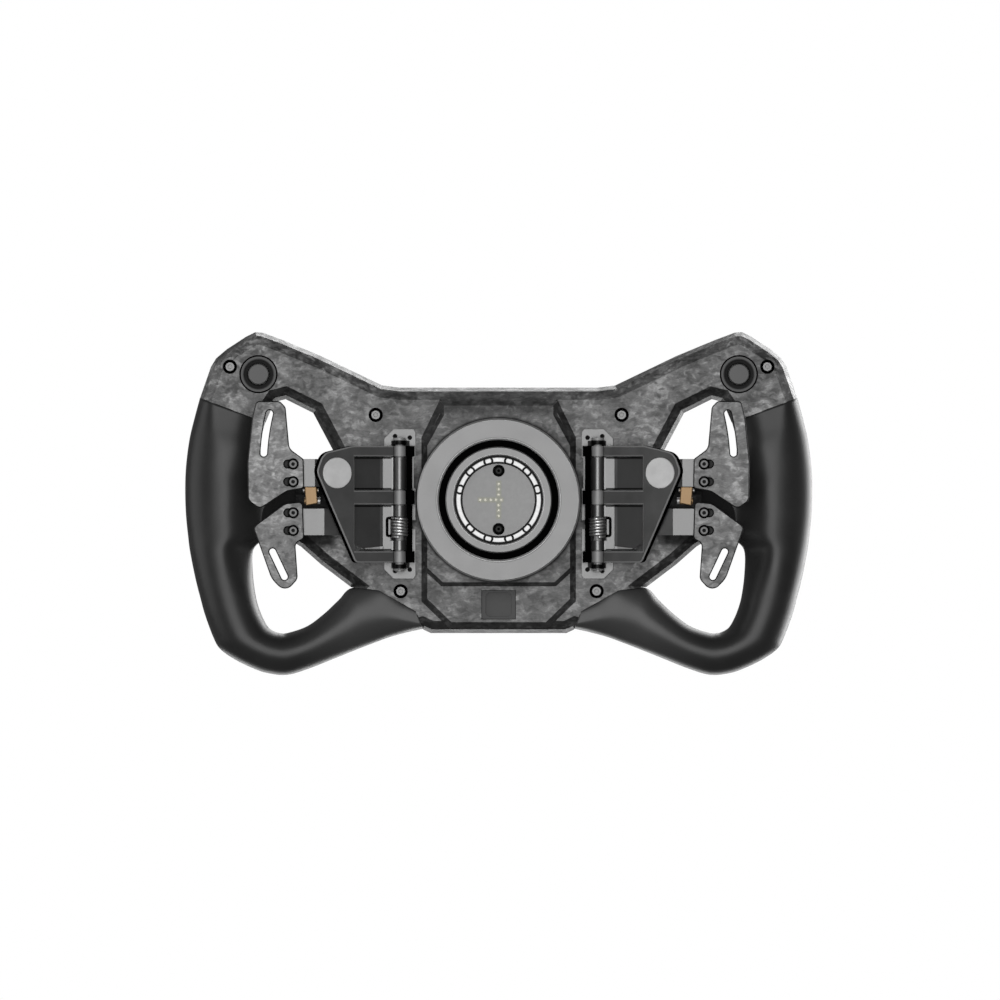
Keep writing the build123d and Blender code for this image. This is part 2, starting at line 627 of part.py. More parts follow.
def make_shift_arm():
    """The arm is screwed under the carrier, follows its slope and lies flat under the blade."""
    c, s = cos(radians(CARRIER_TILT)), sin(radians(CARRIER_TILT))
    slope = s / c
    bend = HINGE_X + ((HINGE_Y - CARRIER_FRONT * c - SHIFT_ARM_FLAT) / s) * c - CARRIER_FRONT * s
    start = (ARM_START, SHIFT_ARM_FLAT + (bend - ARM_START) * slope)
    corners = [start, (bend, SHIFT_ARM_FLAT), (ARM_END, SHIFT_ARM_FLAT)]
    arm = bent_sheet(corners, SHEET, *SHIFT_ARM_BAND)
    for z in SHIFT_SCREW_Z:
        arm -= disc(BLADE_SCREW_X, z, ARM_HOLE_R, 0, 20)
    return arm


def make_throw_adjuster():
    """A tapered brass block under the arm's lower edge, with the ends of two cross pins at its sides."""
    brass = layer(flat(ADJUSTER), *ADJUSTER_DEPTHS)
    brass = chamfer(rim_edges(brass, ADJUSTER_DEPTHS[0]), 0.3)
    for z, radius, x_from, x_to in ADJUSTER_PINS:
        middle = Pos((x_from + x_to) / 2, sum(ADJUSTER_DEPTHS) / 2, z)
        brass += middle * Rot(0, 90, 0) * Cylinder(radius, x_to - x_from)
    return brass


def blade(outline, y_arm):
    """A flat blade on the rear of its arm, with its rear edges broken."""
    plate = layer(outline, y_arm - BLADE_THICKNESS, y_arm)
    return chamfer(plate.edges().group_by(Axis.Y)[0], BLADE_CHAMFER)


def screw_slots(places):
    """The slots that a blade slides on its screws in."""
    length, height, shift = BLADE_SLOT
    return Sketch() + [Pos(BLADE_SCREW_X + shift, z) * SlotOverall(length, height) for z in places]


def make_shift_blade():
    outline = flat(SHIFT_BLADE, SHIFT_BLADE_CORNERS)
    slot = make_face(offset(ThreePointArc((109.9, 41.4), (111.7, 32.0), (112.7, 22.4)), amount=1.6))
    return blade(outline - slot - screw_slots(SHIFT_SCREW_Z), SHIFT_ARM_FLAT)


def make_clutch_blade():
    outline = flat(CLUTCH_BLADE, CLUTCH_BLADE_CORNERS)
    slot = make_face(offset(Line((108.5, -24.9), (102.8, -36.9)), amount=1.55))
    return blade(outline - slot - screw_slots(CLUTCH_SCREW_Z), LEVER_ARM_FLAT)


def make_blade_screws(places, y_blade):
    screws = []
    for z in places:
        top = y_blade - BLADE_HEAD_RISE
        head = chamfer(rim_edges(disc(BLADE_SCREW_X, z, BLADE_HEAD_R, top, y_blade), top), BLADE_HEAD_CHAMFER)
        tip = y_blade + BLADE_THICKNESS + SHEET
        screw = head + disc(BLADE_SCREW_X, z, BLADE_SCREW_R, y_blade - 0.5, tip)
        screws.append(screw - disc(BLADE_SCREW_X, z, BLADE_SOCKET_R, top - 1, y_blade - 0.4))
    return group(*screws)


def make_clutch_lever():
    """A bent steel lever: flat at the hinge, sloping up under the carrier, flat again under its blade."""
    slope_from, slope_to = LEVER_SLOPE
    corners = [(LEVER_START, LEVER_FLAT), (slope_from, LEVER_FLAT)]
    corners += [(slope_to, LEVER_ARM_FLAT), (ARM_END, LEVER_ARM_FLAT)]
    lever = bent_sheet(corners, SHEET, *LEVER_BAND) & layer(flat(LEVER), 0, 40)
    lever += layer(flat(LEVER_RIB_PLAN), LEVER_RIB, LEVER_FLAT)
    x_from, x_to, gap = LEVER_CLEAR
    lever -= block(x_from, x_to, 15, 30, CARRIER_BANDS[1][0] - gap, CARRIER_BANDS[1][1] + gap)
    for z_low, z_high in LEVER_BARRELS:
        lever += upright(BARREL_R, z_low, z_high)
        lever += block(HINGE_X, LEVER_LUG_END, LEVER_FLAT, LEVER_FLAT + SHEET, z_low, z_high)
    lever -= upright(PIN_R + RUNNING_GAP, *ALONG_PIN)
    for z in CLUTCH_SCREW_Z:
        lever -= disc(BLADE_SCREW_X, z, ARM_HOLE_R, 0, 20)
    return lever


def make_torsion_spring():
    """The closed coils of the clutch spring, as touching rings on the pin."""
    section = Sketch()
    for turn in range(SPRING_TURNS):
        section += Pos(SPRING_MEAN_R, SPRING_START + turn * SPRING_PITCH) * Circle(SPRING_WIRE_R)
    coils = revolve(Plane.XZ * section, Axis.Z)
    return Pos(HINGE_X, HINGE_Y, 0) * coils


# ---- inside ----
def make_main_board():
    board = layer(flat(both(MAIN_BOARD)), BOARD_REAR, BOARD_FRONT)
    for x, z in BODY_SCREWS:
        board -= both_sides(disc(x, z, POST_R, BOARD_REAR - 1, BOARD_FRONT + 1))
    return board - both_sides(disc(*KNOB_AT, KNOB_SHAFT_R + 0.4, BOARD_REAR - 1, BOARD_FRONT + 1))


def make_switches():
    """Push switches behind the rear buttons, and behind the front ones."""
    places = [(REAR_BUTTON_AT, REAR_FACE + SWITCH_GAP, PLATE_REAR)]
    places += [(place, PLATE_FRONT, FRONT_FACE - SWITCH_GAP) for place in FRONT_BUTTONS]
    half = SWITCH_HALF
    parts = [block(x - half, x + half, y_from, y_to, z - half, z + half) for (x, z), y_from, y_to in places]
    return group(*parts, *[mirrored(part) for part in parts])


def make_encoders():
    body = ring(*KNOB_AT, ENCODER_R, KNOB_SHAFT_R + 0.1, BOARD_FRONT, FRONT_FACE - 0.2)
    return group(body, mirrored(body))


def make_sensors():
    """A small magnet sensor board under each hinge, inside the rear shell."""
    x_from, x_to, half_height, thickness = SENSOR
    inside = REAR_FACE + WALL
    board = block(x_from, x_to, inside, inside + thickness, -half_height, half_height)
    return group(board, mirrored(board))


# ---- front controls ----
def make_front_bezels():
    depths = (FRONT_FACE + 1.2, FRONT_FACE, FRONT_FACE - 1.0, FRONT_FACE - 4.0)
    bezel = boss_ring(*FRONT_BEZEL_RADII, *depths)
    parts = [Pos(x, 0, z) * bezel for x, z in FRONT_BUTTONS]
    return group(*parts, *[mirrored(part) for part in parts])


def make_front_button(place):
    x, z = place
    cap = disc(x, z, FRONT_CAP_R, FRONT_FACE - 2.6, FRONT_FACE + FRONT_CAP_RISE)
    cap = chamfer(rim_edges(cap, FRONT_FACE + FRONT_CAP_RISE), 0.8)
    return cap + disc(x, z, BUTTON_STEM_R, FRONT_FACE - 5.2, FRONT_FACE - 2)


def make_knob():
    x, z = KNOB_AT
    top = FRONT_FACE + KNOB_RISE
    knob = chamfer(rim_edges(disc(x, z, KNOB_R, FRONT_FACE + 0.5, top), top), 1.2)
    for angle in range(0, 360, 30):
        flute_x = x + KNOB_FLUTE_AT * cos(radians(angle))
        flute_z = z + KNOB_FLUTE_AT * sin(radians(angle))
        knob -= disc(flute_x, flute_z, KNOB_FLUTE_R, FRONT_FACE + 2.5, top + 1)
    return knob + disc(x, z, KNOB_SHAFT_R, BOARD_REAR, FRONT_FACE + 1)


def make_led_lens():
    half, low, high = LENS
    return block(-half, half, FRONT_FACE - 3, FRONT_FACE + LENS_RISE, low, high)


def save(name, part):
    """Write one node."""
    solids = part.solids()
    whole = solids[0] if len(solids) == 1 else Compound(children=solids)
    export_step(whole, os.path.join("parts", name + ".step"))


body_slab = slab(REAR_FACE, FRONT_FACE, EDGE_CHAMFER, SIDE_DRAFT)
grip_slab = slab(GRIP_REAR, GRIP_FRONT, GRIP_CHAMFER)

nodes = {
    "rear_shell": make_rear_shell(),
    "front_shell": make_front_shell(),
    "frame_plate": make_frame_plate(),
    "body_screws": make_body_screws(),
    "hub_flange": make_hub_flange(),
    "hub_receiver": make_hub_receiver(),
    "hub_bolts": make_hub_bolts(),
    "lock_ring": make_lock_ring(),
    "contact_block": make_contact_block(),
    "contact_screws": make_contact_screws(),
    "contact_pads": make_contact_pads(),
    "release_collar": make_release_collar(),
    "collar_clip": make_collar_clip(),
    "collar_spring": make_collar_spring(),
    "rear_button_bezels": make_rear_bezels(),
    "port_plug": make_port_plug(),
    "bracket_screws": make_bracket_screws(),
    "main_board": make_main_board(),
    "switches": make_switches(),
    "knob_encoders": make_encoders(),
    "paddle_sensors": make_sensors(),
    "front_button_bezels": make_front_bezels(),
    "led_lens": make_led_lens(),
}
right_side = {
    "grip": make_grip(),
    "rear_button": make_rear_button(),
    "hinge_bracket": make_hinge_bracket(),
    "hinge_pin": make_hinge_pin(),
    "shift_carrier": make_shift_carrier(),
    "magnet_cap": make_magnet_cap(),
    "shift_arm": make_shift_arm(),
    "throw_adjuster": make_throw_adjuster(),
    "shift_blade": make_shift_blade(),
    "shift_screws": make_blade_screws(SHIFT_SCREW_Z, SHIFT_ARM_FLAT - BLADE_THICKNESS),
    "clutch_lever": make_clutch_lever(),
    "clutch_blade": make_clutch_blade(),
    "clutch_screws": make_blade_screws(CLUTCH_SCREW_Z, LEVER_ARM_FLAT - BLADE_THICKNESS),
    "torsion_spring": make_torsion_spring(),
    "front_button_upper": make_front_button(FRONT_BUTTONS[0]),
    "front_button_inner": make_front_button(FRONT_BUTTONS[1]),
    "front_button_lower": make_front_button(FRONT_BUTTONS[2]),
    "knob": make_knob(),
}
for name, part in right_side.items():
    nodes["right_" + name] = part
    nodes["left_" + name] = mirrored(part)

os.makedirs("parts", exist_ok=True)
for name, part in nodes.items():
    save(name, part)
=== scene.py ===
import json
from math import cos, pi, radians, sin

import bmesh
import bpy
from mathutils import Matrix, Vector


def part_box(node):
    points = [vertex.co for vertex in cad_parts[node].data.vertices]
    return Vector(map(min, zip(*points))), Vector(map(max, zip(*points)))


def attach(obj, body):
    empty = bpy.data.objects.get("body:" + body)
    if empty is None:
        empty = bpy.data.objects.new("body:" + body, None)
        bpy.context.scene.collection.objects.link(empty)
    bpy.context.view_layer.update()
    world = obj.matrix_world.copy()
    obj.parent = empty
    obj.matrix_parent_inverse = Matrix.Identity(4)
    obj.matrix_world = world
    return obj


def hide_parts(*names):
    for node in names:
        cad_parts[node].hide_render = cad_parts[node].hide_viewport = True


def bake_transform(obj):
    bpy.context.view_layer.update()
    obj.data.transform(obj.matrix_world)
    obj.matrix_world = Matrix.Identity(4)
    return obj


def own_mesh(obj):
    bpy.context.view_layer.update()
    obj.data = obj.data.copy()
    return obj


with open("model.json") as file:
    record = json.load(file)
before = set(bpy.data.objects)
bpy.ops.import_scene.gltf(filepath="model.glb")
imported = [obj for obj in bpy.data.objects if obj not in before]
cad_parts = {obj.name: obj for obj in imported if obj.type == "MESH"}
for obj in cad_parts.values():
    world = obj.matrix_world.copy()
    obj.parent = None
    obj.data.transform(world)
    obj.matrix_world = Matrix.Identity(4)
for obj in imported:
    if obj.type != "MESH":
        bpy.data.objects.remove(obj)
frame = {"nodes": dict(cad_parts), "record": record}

# The looks of a sim racing wheel, seen from its rear. Metres; -Y is the side that faces the camera.

MM = 0.001
SIDES = (("right", 1), ("left", -1))
ORIGIN = (0.0, 0.0)

# Where the looks change, in millimetres: |X| and Z of screws and buttons, and radii round them.
BODY_SCREWS = ((129.15, 64.0), (59.1, 40.85), (47.1, -43.9))
SINK_R = 3.35
REAR_BUTTON_AT = (115.45, 60.4)
SEAT_R = 9.1
BLADE_SCREWS = ((98.6, 17.2), (98.6, 8.7), (98.6, -6.2), (98.6, -14.7))
CONTACT_SCREWS = ((0.0, 14.0), (0.0, -14.0))

# Painted rectangles on metal: |X| from and to, Z from and to, and the shade that covers them.
# Painted shadow on the arms' ends under the paddles.
BLADE_SHADOW = ((94.3, 120.0, -60.0, 60.0, 0.006),)
# Painted shadow on the bracket behind the hinge pin.
BRACKET_SHADOW = ((42.8, 51.6, -32.9, 28.4, 0.002),)
# Painted shadow on the torsion spring's loop.
SPRING_LOOP_SHADOW = ((51.4, 60.0, -30.0, 10.0, 0.002),)
ADJUSTER_ENDS = ((80.0, 86.75, -10.0, 20.0, 0.35), (93.3, 99.0, -10.0, 20.0, 0.35))
# Painted shadow lines along the lever's edges, painted darker shade on its incline and painted light on its
# barrel.
LEVER_SHADOW_LINES = (20.1, 5.35, -3.0, -23.9)
LEVER_LIGHT_AND_SHADE = ((57.0, 71.2, -60.0, 60.0, 0.066), (43.0, 51.2, -60.0, 60.0, 0.14)) + tuple(
    (51.5, 71.2, z - 0.35, z + 0.35, 0.003) for z in LEVER_SHADOW_LINES)
# The same on rubber, with how soft the ends are before the shade: the lower grip painted lighter, as painted
# light.
LOWER_GRIP_LIGHT = ((-40.0, 85.0, -140.0, -30.0, 14.0, 0.045),)
# The same for painted shade on the rear shell, with how soft the ends are and how strong it is: between the
# collar and the hinges, under the arms, and along the hub pad's top edge.
PAINTED_SHADOW_PATCHES = (
    (38.5, 45.0, -12.0, 12.0, 1.5, 0.6),
    (78.5, 101.0, -23.0, 8.6, 2.2, 0.85),
    (-40.0, 30.0, 41.0, 48.0, 1.5, 0.45),
)
# Painted shadow in a ring round the collar: radius from and to, and its strength.
COLLAR_PAINTED_SHADOW = (39.5, 40.6, 0.75)
# How strongly painted shade darkens the shell's slopes.
SLOPE_SHADE_SHARE = 0.68

# Rings round the hub's axis: radius from and to, and the shade: the deep groove painted black as shadow,
# painted highlights on the lips, and a painted dark line as shade just outside the collar's bore chamfer.
HUB_GROOVE_SHADOW = (25.6, 28.7)
HUB_LIP_HIGHLIGHTS = ((21.35, 22.0, 0.4), (28.8, 29.6, 0.65), (38.35, 39.15, 0.30))
HUB_EDGE_SHADE = (29.85, 30.15)

# The lock ring has ball pockets 30 degrees apart, and at each side one place without, between two heights.
POCKET_AT = 19.3
POCKET_R = 1.95
POCKET_STEP = radians(30)
NO_POCKET = (-9.0, 2.0)
# The rims' radii, along which shade is painted.
RING_RIMS = (18.5, 20.0)

# The contact pads stand in a column and a row, on beige strips of these middles and half lengths.
PIN_PITCH = 2.54
STRIP_HALF = 1.25
COLUMN = (0.0, 9.2)
ROW = (-3.8, 6.2)

# Forged carbon: each layer's direction, flake length and flake width, the fibres in a flake, and how far
# the layers are bent. The tones are a place on the pattern's scale and a share of the base shade.
CARBON_LAYERS = ((28, 5.5, 2.4), (-47, 4.5, 2.0), (81, 4.0, 2.2))
CARBON_FIBRE = (2.6, 0.6, 0.5)
CARBON_WARP = 5.5
CARBON_TONES = ((0.20, 0.28), (0.34, 0.55), (0.44, 0.83), (0.52, 1.05), (0.60, 1.45), (0.72, 2.3),
                (0.85, 3.4))
CARBON_GLOSS = 0.34

CARRIER_TILT = 22.0
BLACK = (0.001, 0.001, 0.001, 1.0)

nodes = frame["nodes"]
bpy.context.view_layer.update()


# ---- node helpers ----
def add(tree, kind, inputs=None, **settings):
    """A shader node with its settings; an input is a value or another node's output."""
    made = tree.nodes.new("ShaderNode" + kind)
    for name, value in settings.items():
        setattr(made, name, value)
    for socket, value in (inputs or {}).items():
        if isinstance(value, bpy.types.NodeSocket):
            tree.links.new(value, made.inputs[socket])
        else:
            made.inputs[socket].default_value = value
    return made


def grey(value):
    return (value, value, value, 1.0)


def start_material(name, metallic=0.0, **inputs):
    """A Principled material and the object coordinates that its patterns use."""
    material = bpy.data.materials.new(name)
    material.use_nodes = True
    tree = material.node_tree
    shader = tree.nodes["Principled BSDF"]
    shader.inputs["Metallic"].default_value = metallic
    for socket, value in inputs.items():
        shader.inputs[socket].default_value = value
    place = add(tree, "TexCoord").outputs["Object"]
    return material, tree, shader, place


def noise(tree, place, size, detail=3.0, roughness=0.55):
    """Noise whose lumps are about size metres across, from 0 to 1."""
    inputs = {"Vector": place, "Scale": 1 / size, "Detail": detail, "Roughness": roughness}
    return add(tree, "TexNoise", inputs).outputs["Fac"]


def stretched(tree, place, angle, sizes, offset):
    """Coordinates turned about Y and divided by sizes, for patterns that run one way."""
    inputs = {
        "Vector": place, "Rotation": (0, radians(angle), 0), "Location": (offset, offset, offset),
        "Scale": tuple(1 / size for size in sizes),
    }
    return add(tree, "Mapping", inputs, vector_type="POINT").outputs["Vector"]


def remap(tree, value, low, high, to_low, to_high):
    inputs = {"Value": value, "From Min": low, "From Max": high, "To Min": to_low, "To Max": to_high}
    return add(tree, "MapRange", inputs).outputs["Result"]


def ramp(tree, value, stops):
    """A colour ramp through (position, colour) stops."""
    made = add(tree, "ValToRGB", {"Fac": value})
    elements = made.color_ramp.elements
    while len(elements) < len(stops):
        elements.new(0.5)
    for element, (position, colour) in zip(elements, stops):
        element.position = position
        element.color = colour
    return made.outputs["Color"]


def math_node(tree, operation, a, b=0.0):
    made = add(tree, "Math", operation=operation)
    for socket, value in zip(made.inputs, (a, b)):
        if isinstance(value, bpy.types.NodeSocket):
            tree.links.new(value, socket)
        else:
            socket.default_value = value
    return made.outputs["Value"]


def distance_from(tree, across, up, x, z):
    """Distance across Y from an axis at (x, z) millimetres, in metres."""
    aside = math_node(tree, "SUBTRACT", across, x * MM)
    above = math_node(tree, "SUBTRACT", up, z * MM)
    squares = [math_node(tree, "MULTIPLY", value, value) for value in (aside, above)]
    return math_node(tree, "SQRT", math_node(tree, "ADD", *squares))


def split_place(tree, place):
    """The X coordinate with its sign dropped, and Z."""
    parts = add(tree, "SeparateXYZ", {"Vector": place})
    return math_node(tree, "ABSOLUTE", parts.outputs["X"]), parts.outputs["Z"]


def band(tree, value, low, high, soft):
    """1 where a value lies between two millimetre marks and 0 outside, with soft ends."""
    rise = remap(tree, value, (low - soft) * MM, (low + soft) * MM, 0.0, 1.0)
    fall = remap(tree, value, (high - soft) * MM, (high + soft) * MM, 1.0, 0.0)
    return math_node(tree, "MULTIPLY", rise, fall)


def patch(tree, place, x_from, x_to, z_from, z_to, soft=0.12):
    """1 inside a rectangle of |X| and Z millimetres, on both sides of the wheel."""
    across, up = split_place(tree, place)
    wide = band(tree, across, x_from, x_to, soft)
    return math_node(tree, "MULTIPLY", wide, band(tree, up, z_from, z_to, soft))


def covered(tree, colour, mask, other):
    """A colour with another one over it where the mask is 1."""
    return add(tree, "Mix", {0: mask, 6: colour, 7: other}, data_type="RGBA").outputs[2]


def facing(tree, tilt=0.0):
    """How squarely a face looks along a plate's thickness, where its outer end leans tilt degrees back."""
    coordinates = add(tree, "TexCoord")
    normal = add(tree, "SeparateXYZ", {"Vector": coordinates.outputs["Normal"]})
    spot = add(tree, "SeparateXYZ", {"Vector": coordinates.outputs["Object"]})
    outward = math_node(tree, "MULTIPLY", normal.outputs["X"], math_node(tree, "SIGN", spot.outputs["X"]))
    lean = math_node(tree, "MULTIPLY", outward, -sin(radians(tilt)))
    square = math_node(tree, "MULTIPLY", normal.outputs["Y"], -cos(radians(tilt)))
    return math_node(tree, "ABSOLUTE", math_node(tree, "ADD", lean, square))


def bump(tree, shader, height, distance, strength, edge_radius=0.0):
    """Relief on the shader's normal, over edges rounded by edge_radius."""
    inputs = {"Height": height, "Distance": distance, "Strength": strength}
    if edge_radius:
        inputs["Normal"] = add(tree, "Bevel", {"Radius": edge_radius}, samples=4).outputs["Normal"]
    tree.links.new(add(tree, "Bump", inputs).outputs["Normal"], shader.inputs["Normal"])


# ---- materials ----
def recess_shadow_mask(tree, place):
    """1 in the counterbores of the body screws and the seats of the rear buttons, which are painted black as
    shadow, and 0 elsewhere.
    """
    across, up = split_place(tree, place)
    mask = 0.0
    for x, z, radius in [(x, z, SINK_R) for x, z in BODY_SCREWS] + [(*REAR_BUTTON_AT, SEAT_R)]:
        away = distance_from(tree, across, up, x, z)
        inside = remap(tree, away, radius * MM, (radius + 0.15) * MM, 1.0, 0.0)
        mask = math_node(tree, "MAXIMUM", inside, mask)
    return mask


def slope_shade(tree, place):
    """1 on the rear shell's slopes that face down or sideways, in the finger holes and round the hub pad."""
    normal = add(tree, "SeparateXYZ", {"Vector": add(tree, "TexCoord").outputs["Normal"]})
    tilted = remap(tree, normal.outputs["Y"], -0.9, -0.8, 0.0, 1.0)
    lowered = remap(tree, normal.outputs["Z"], 0.35, 0.6, 1.0, 0.0)
    within = remap(tree, split_place(tree, place)[0], 116 * MM, 122 * MM, 1.0, 0.0)
    return math_node(tree, "MULTIPLY", math_node(tree, "MULTIPLY", tilted, lowered), within)


def shell_painted_shadow(tree, place):
    """How much painted shade darkens the rear shell: round the collar, under the paddles, over the hub pad
    and on its slopes.
    """
    radius = distance_from(tree, *split_place(tree, place), *ORIGIN)
    inner, outer, strength = COLLAR_PAINTED_SHADOW
    dark = remap(tree, radius, inner * MM, outer * MM, strength, 0.0)
    slopes = math_node(tree, "MULTIPLY", slope_shade(tree, place), SLOPE_SHADE_SHARE)
    patches = [math_node(tree, "MULTIPLY", patch(tree, place, *box), strength)
               for *box, strength in PAINTED_SHADOW_PATCHES]
    for other in (*patches, slopes):
        dark = math_node(tree, "MAXIMUM", dark, other)
    return dark


def forged_carbon(name, base, offset=0.0, contrast=1.0, rear=False, edge_shaded=False):
    """Chopped-fibre carbon: overlapping flakes that catch the light differently, under satin resin.

    The rear shell has painted shade, with its recesses painted black as shadow, and the paddles' carbon
    has painted shade on its chamfers and sides.
    """
    material, tree, shader, place = start_material(name, **{"Specular IOR Level": CARBON_GLOSS})
    warp = add(tree, "TexNoise", {"Vector": place, "Scale": 150.0, "Detail": 4.0}).outputs["Color"]
    centred = add(tree, "VectorMath", {0: warp, 1: (0.5, 0.5, 0.5)}, operation="SUBTRACT").outputs["Vector"]
    pushed = add(tree, "VectorMath", {0: centred, "Scale": CARBON_WARP * MM}, operation="SCALE")
    bent = add(tree, "VectorMath", {0: place, 1: pushed.outputs["Vector"]}, operation="ADD")
    bent = bent.outputs["Vector"]
    layers = []
    for number, (angle, length, width) in enumerate(CARBON_LAYERS):
        sizes = (length * MM, 3.5 * MM, width * MM)
        flakes = stretched(tree, bent, angle, sizes, offset + 3.7 * number)
        cell = add(tree, "TexVoronoi", {"Vector": flakes, "Scale": 1.0}, feature="SMOOTH_F1")
        cell.inputs["Smoothness"].default_value = 0.6
        fibre_sizes = tuple(size * MM for size in CARBON_FIBRE)
        fibres = noise(tree, stretched(tree, bent, angle, fibre_sizes, offset), 1.0, 4.0)
        tone = add(tree, "SeparateColor", {"Color": cell.outputs["Color"]}).outputs["Red"]
        layers.append(math_node(tree, "ADD", math_node(tree, "MULTIPLY", tone, 0.6),
                                math_node(tree, "MULTIPLY", fibres, 0.7)))
    pick = noise(tree, place, 6 * MM, 2.0)
    first = remap(tree, pick, 0.40, 0.50, 0.0, 1.0)
    second = remap(tree, pick, 0.52, 0.62, 0.0, 1.0)
    mixed = add(tree, "Mix", {0: first, 2: layers[0], 3: layers[1]}).outputs[0]
    mixed = add(tree, "Mix", {0: second, 2: mixed, 3: layers[2]}).outputs[0]
    clouds = noise(tree, bent, 13 * MM, 6.0, 0.68)
    value = math_node(tree, "ADD", math_node(tree, "MULTIPLY", mixed, 0.6),
                      math_node(tree, "MULTIPLY", clouds, 0.9))
    away = remap(tree, split_place(tree, place)[0], 30 * MM, 110 * MM, 0.95 * contrast, 1.3 * contrast)
    centred = math_node(tree, "SUBTRACT", value, 0.84)
    value = math_node(tree, "ADD", math_node(tree, "MULTIPLY", centred, away), 0.5)
    colour = ramp(tree, value, [(at, grey(base * share)) for at, share in CARBON_TONES])
    if rear:
        # Painted shade darkens the rear shell round the collar, under the paddles, over the hub pad and on
        # its slopes.
        shade_paint = shell_painted_shadow(tree, place)
        colour = covered(tree, colour, shade_paint, grey(0.004))
        # The counterbores and button seats are painted black as shadow.
        mask = recess_shadow_mask(tree, place)
        colour = covered(tree, colour, mask, BLACK)
        dulled = math_node(tree, "MAXIMUM", mask, shade_paint)
        gloss = remap(tree, dulled, 0.0, 1.0, CARBON_GLOSS, 0.0)
        tree.links.new(gloss, shader.inputs["Specular IOR Level"])
    if edge_shaded:
        # Painted shade on faces that don't look squarely along the plate: its chamfers and sides.
        colour = covered(tree, colour, remap(tree, facing(tree), 0.75, 0.92, 1.0, 0.0), grey(0.003))
    tree.links.new(colour, shader.inputs["Base Color"])
    tree.links.new(remap(tree, value, 0.25, 0.8, 0.46, 0.32), shader.inputs["Roughness"])
    bump(tree, shader, mixed, 0.08 * MM, 0.5, 0.3 * MM)
    return material


def metal(name, colour, roughness, metallic, painted=(), **inputs):
    """Machined or blasted metal with a fine grain, faint blotches and softened edges."""
    material, tree, shader, place = start_material(name, metallic, **inputs)
    blotches = noise(tree, place, 9 * MM, 4.0, 0.6)
    fine = noise(tree, place, 0.25 * MM, 2.0)
    dark, light = (tuple(share * part for part in colour[:3]) + (1.0,) for share in (0.88, 1.12))
    colour = ramp(tree, blotches, ((0.3, dark), (0.7, light)))
    for *box, shade in painted:
        colour = covered(tree, colour, patch(tree, place, *box), grey(shade))
    tree.links.new(colour, shader.inputs["Base Color"])
    tree.links.new(remap(tree, blotches, 0.2, 0.8, roughness * 0.85, roughness * 1.15),
                   shader.inputs["Roughness"])
    bump(tree, shader, fine, 0.02 * MM, 0.35, 0.25 * MM)
    return material


def ringed(name, places, reach, stops, metallic, roughness, **inputs):
    """Metal or moulding shaded by the distance from the nearest of several axes along Y.

    Each stop is a distance in millimetres and a shade, and reach is the greatest distance of them.
    """
    material, tree, shader, place = start_material(name, metallic, Roughness=roughness, **inputs)
    across, up = split_place(tree, place)
    nearest = distance_from(tree, across, up, *places[0])
    for x, z in places[1:]:
        nearest = math_node(tree, "MINIMUM", nearest, distance_from(tree, across, up, x, z))
    share = remap(tree, nearest, 0.0, reach * MM, 0.0, 1.0)
    colour = ramp(tree, share, [(distance / reach, grey(shade)) for distance, shade in stops])
    tree.links.new(colour, shader.inputs["Base Color"])
    bump(tree, shader, noise(tree, place, 0.4 * MM), 0.01 * MM, 0.4, 0.2 * MM)
    return material


def carrier_look():
    """Black anodised plate with painted highlights on its bevels, and its sides and the saddles at the hinge
    painted black as shade.
    """
    material, tree, shader, place = start_material("carrier_black_look", 0.2)
    blotches = noise(tree, place, 9 * MM, 4.0, 0.6)
    colour = ramp(tree, blotches, ((0.3, grey(0.057)), (0.7, grey(0.071))))
    square = facing(tree, CARRIER_TILT)
    # A painted highlight on the bevels.
    bevel_highlight = math_node(tree, "MULTIPLY", remap(tree, square, 0.45, 0.55, 0.0, 1.0),
                      remap(tree, square, 0.85, 0.93, 1.0, 0.0))
    colour = covered(tree, colour, bevel_highlight, grey(0.24))
    # The sides and the saddles at the hinge are painted black as shade, with less gloss there.
    black = math_node(tree, "MAXIMUM", remap(tree, square, 0.3, 0.4, 1.0, 0.0),
                      patch(tree, place, 0.0, 50.5, -60.0, 60.0))
    tree.links.new(covered(tree, colour, black, BLACK), shader.inputs["Base Color"])
    tree.links.new(remap(tree, black, 0.0, 1.0, 0.5, 0.0), shader.inputs["Specular IOR Level"])
    tree.links.new(remap(tree, black, 0.0, 1.0, 0.2, 0.0), shader.inputs["Metallic"])
    tree.links.new(remap(tree, blotches, 0.2, 0.8, 0.34, 0.46), shader.inputs["Roughness"])
    bump(tree, shader, noise(tree, place, 0.25 * MM, 2.0), 0.02 * MM, 0.35, 0.15 * MM)
    return material


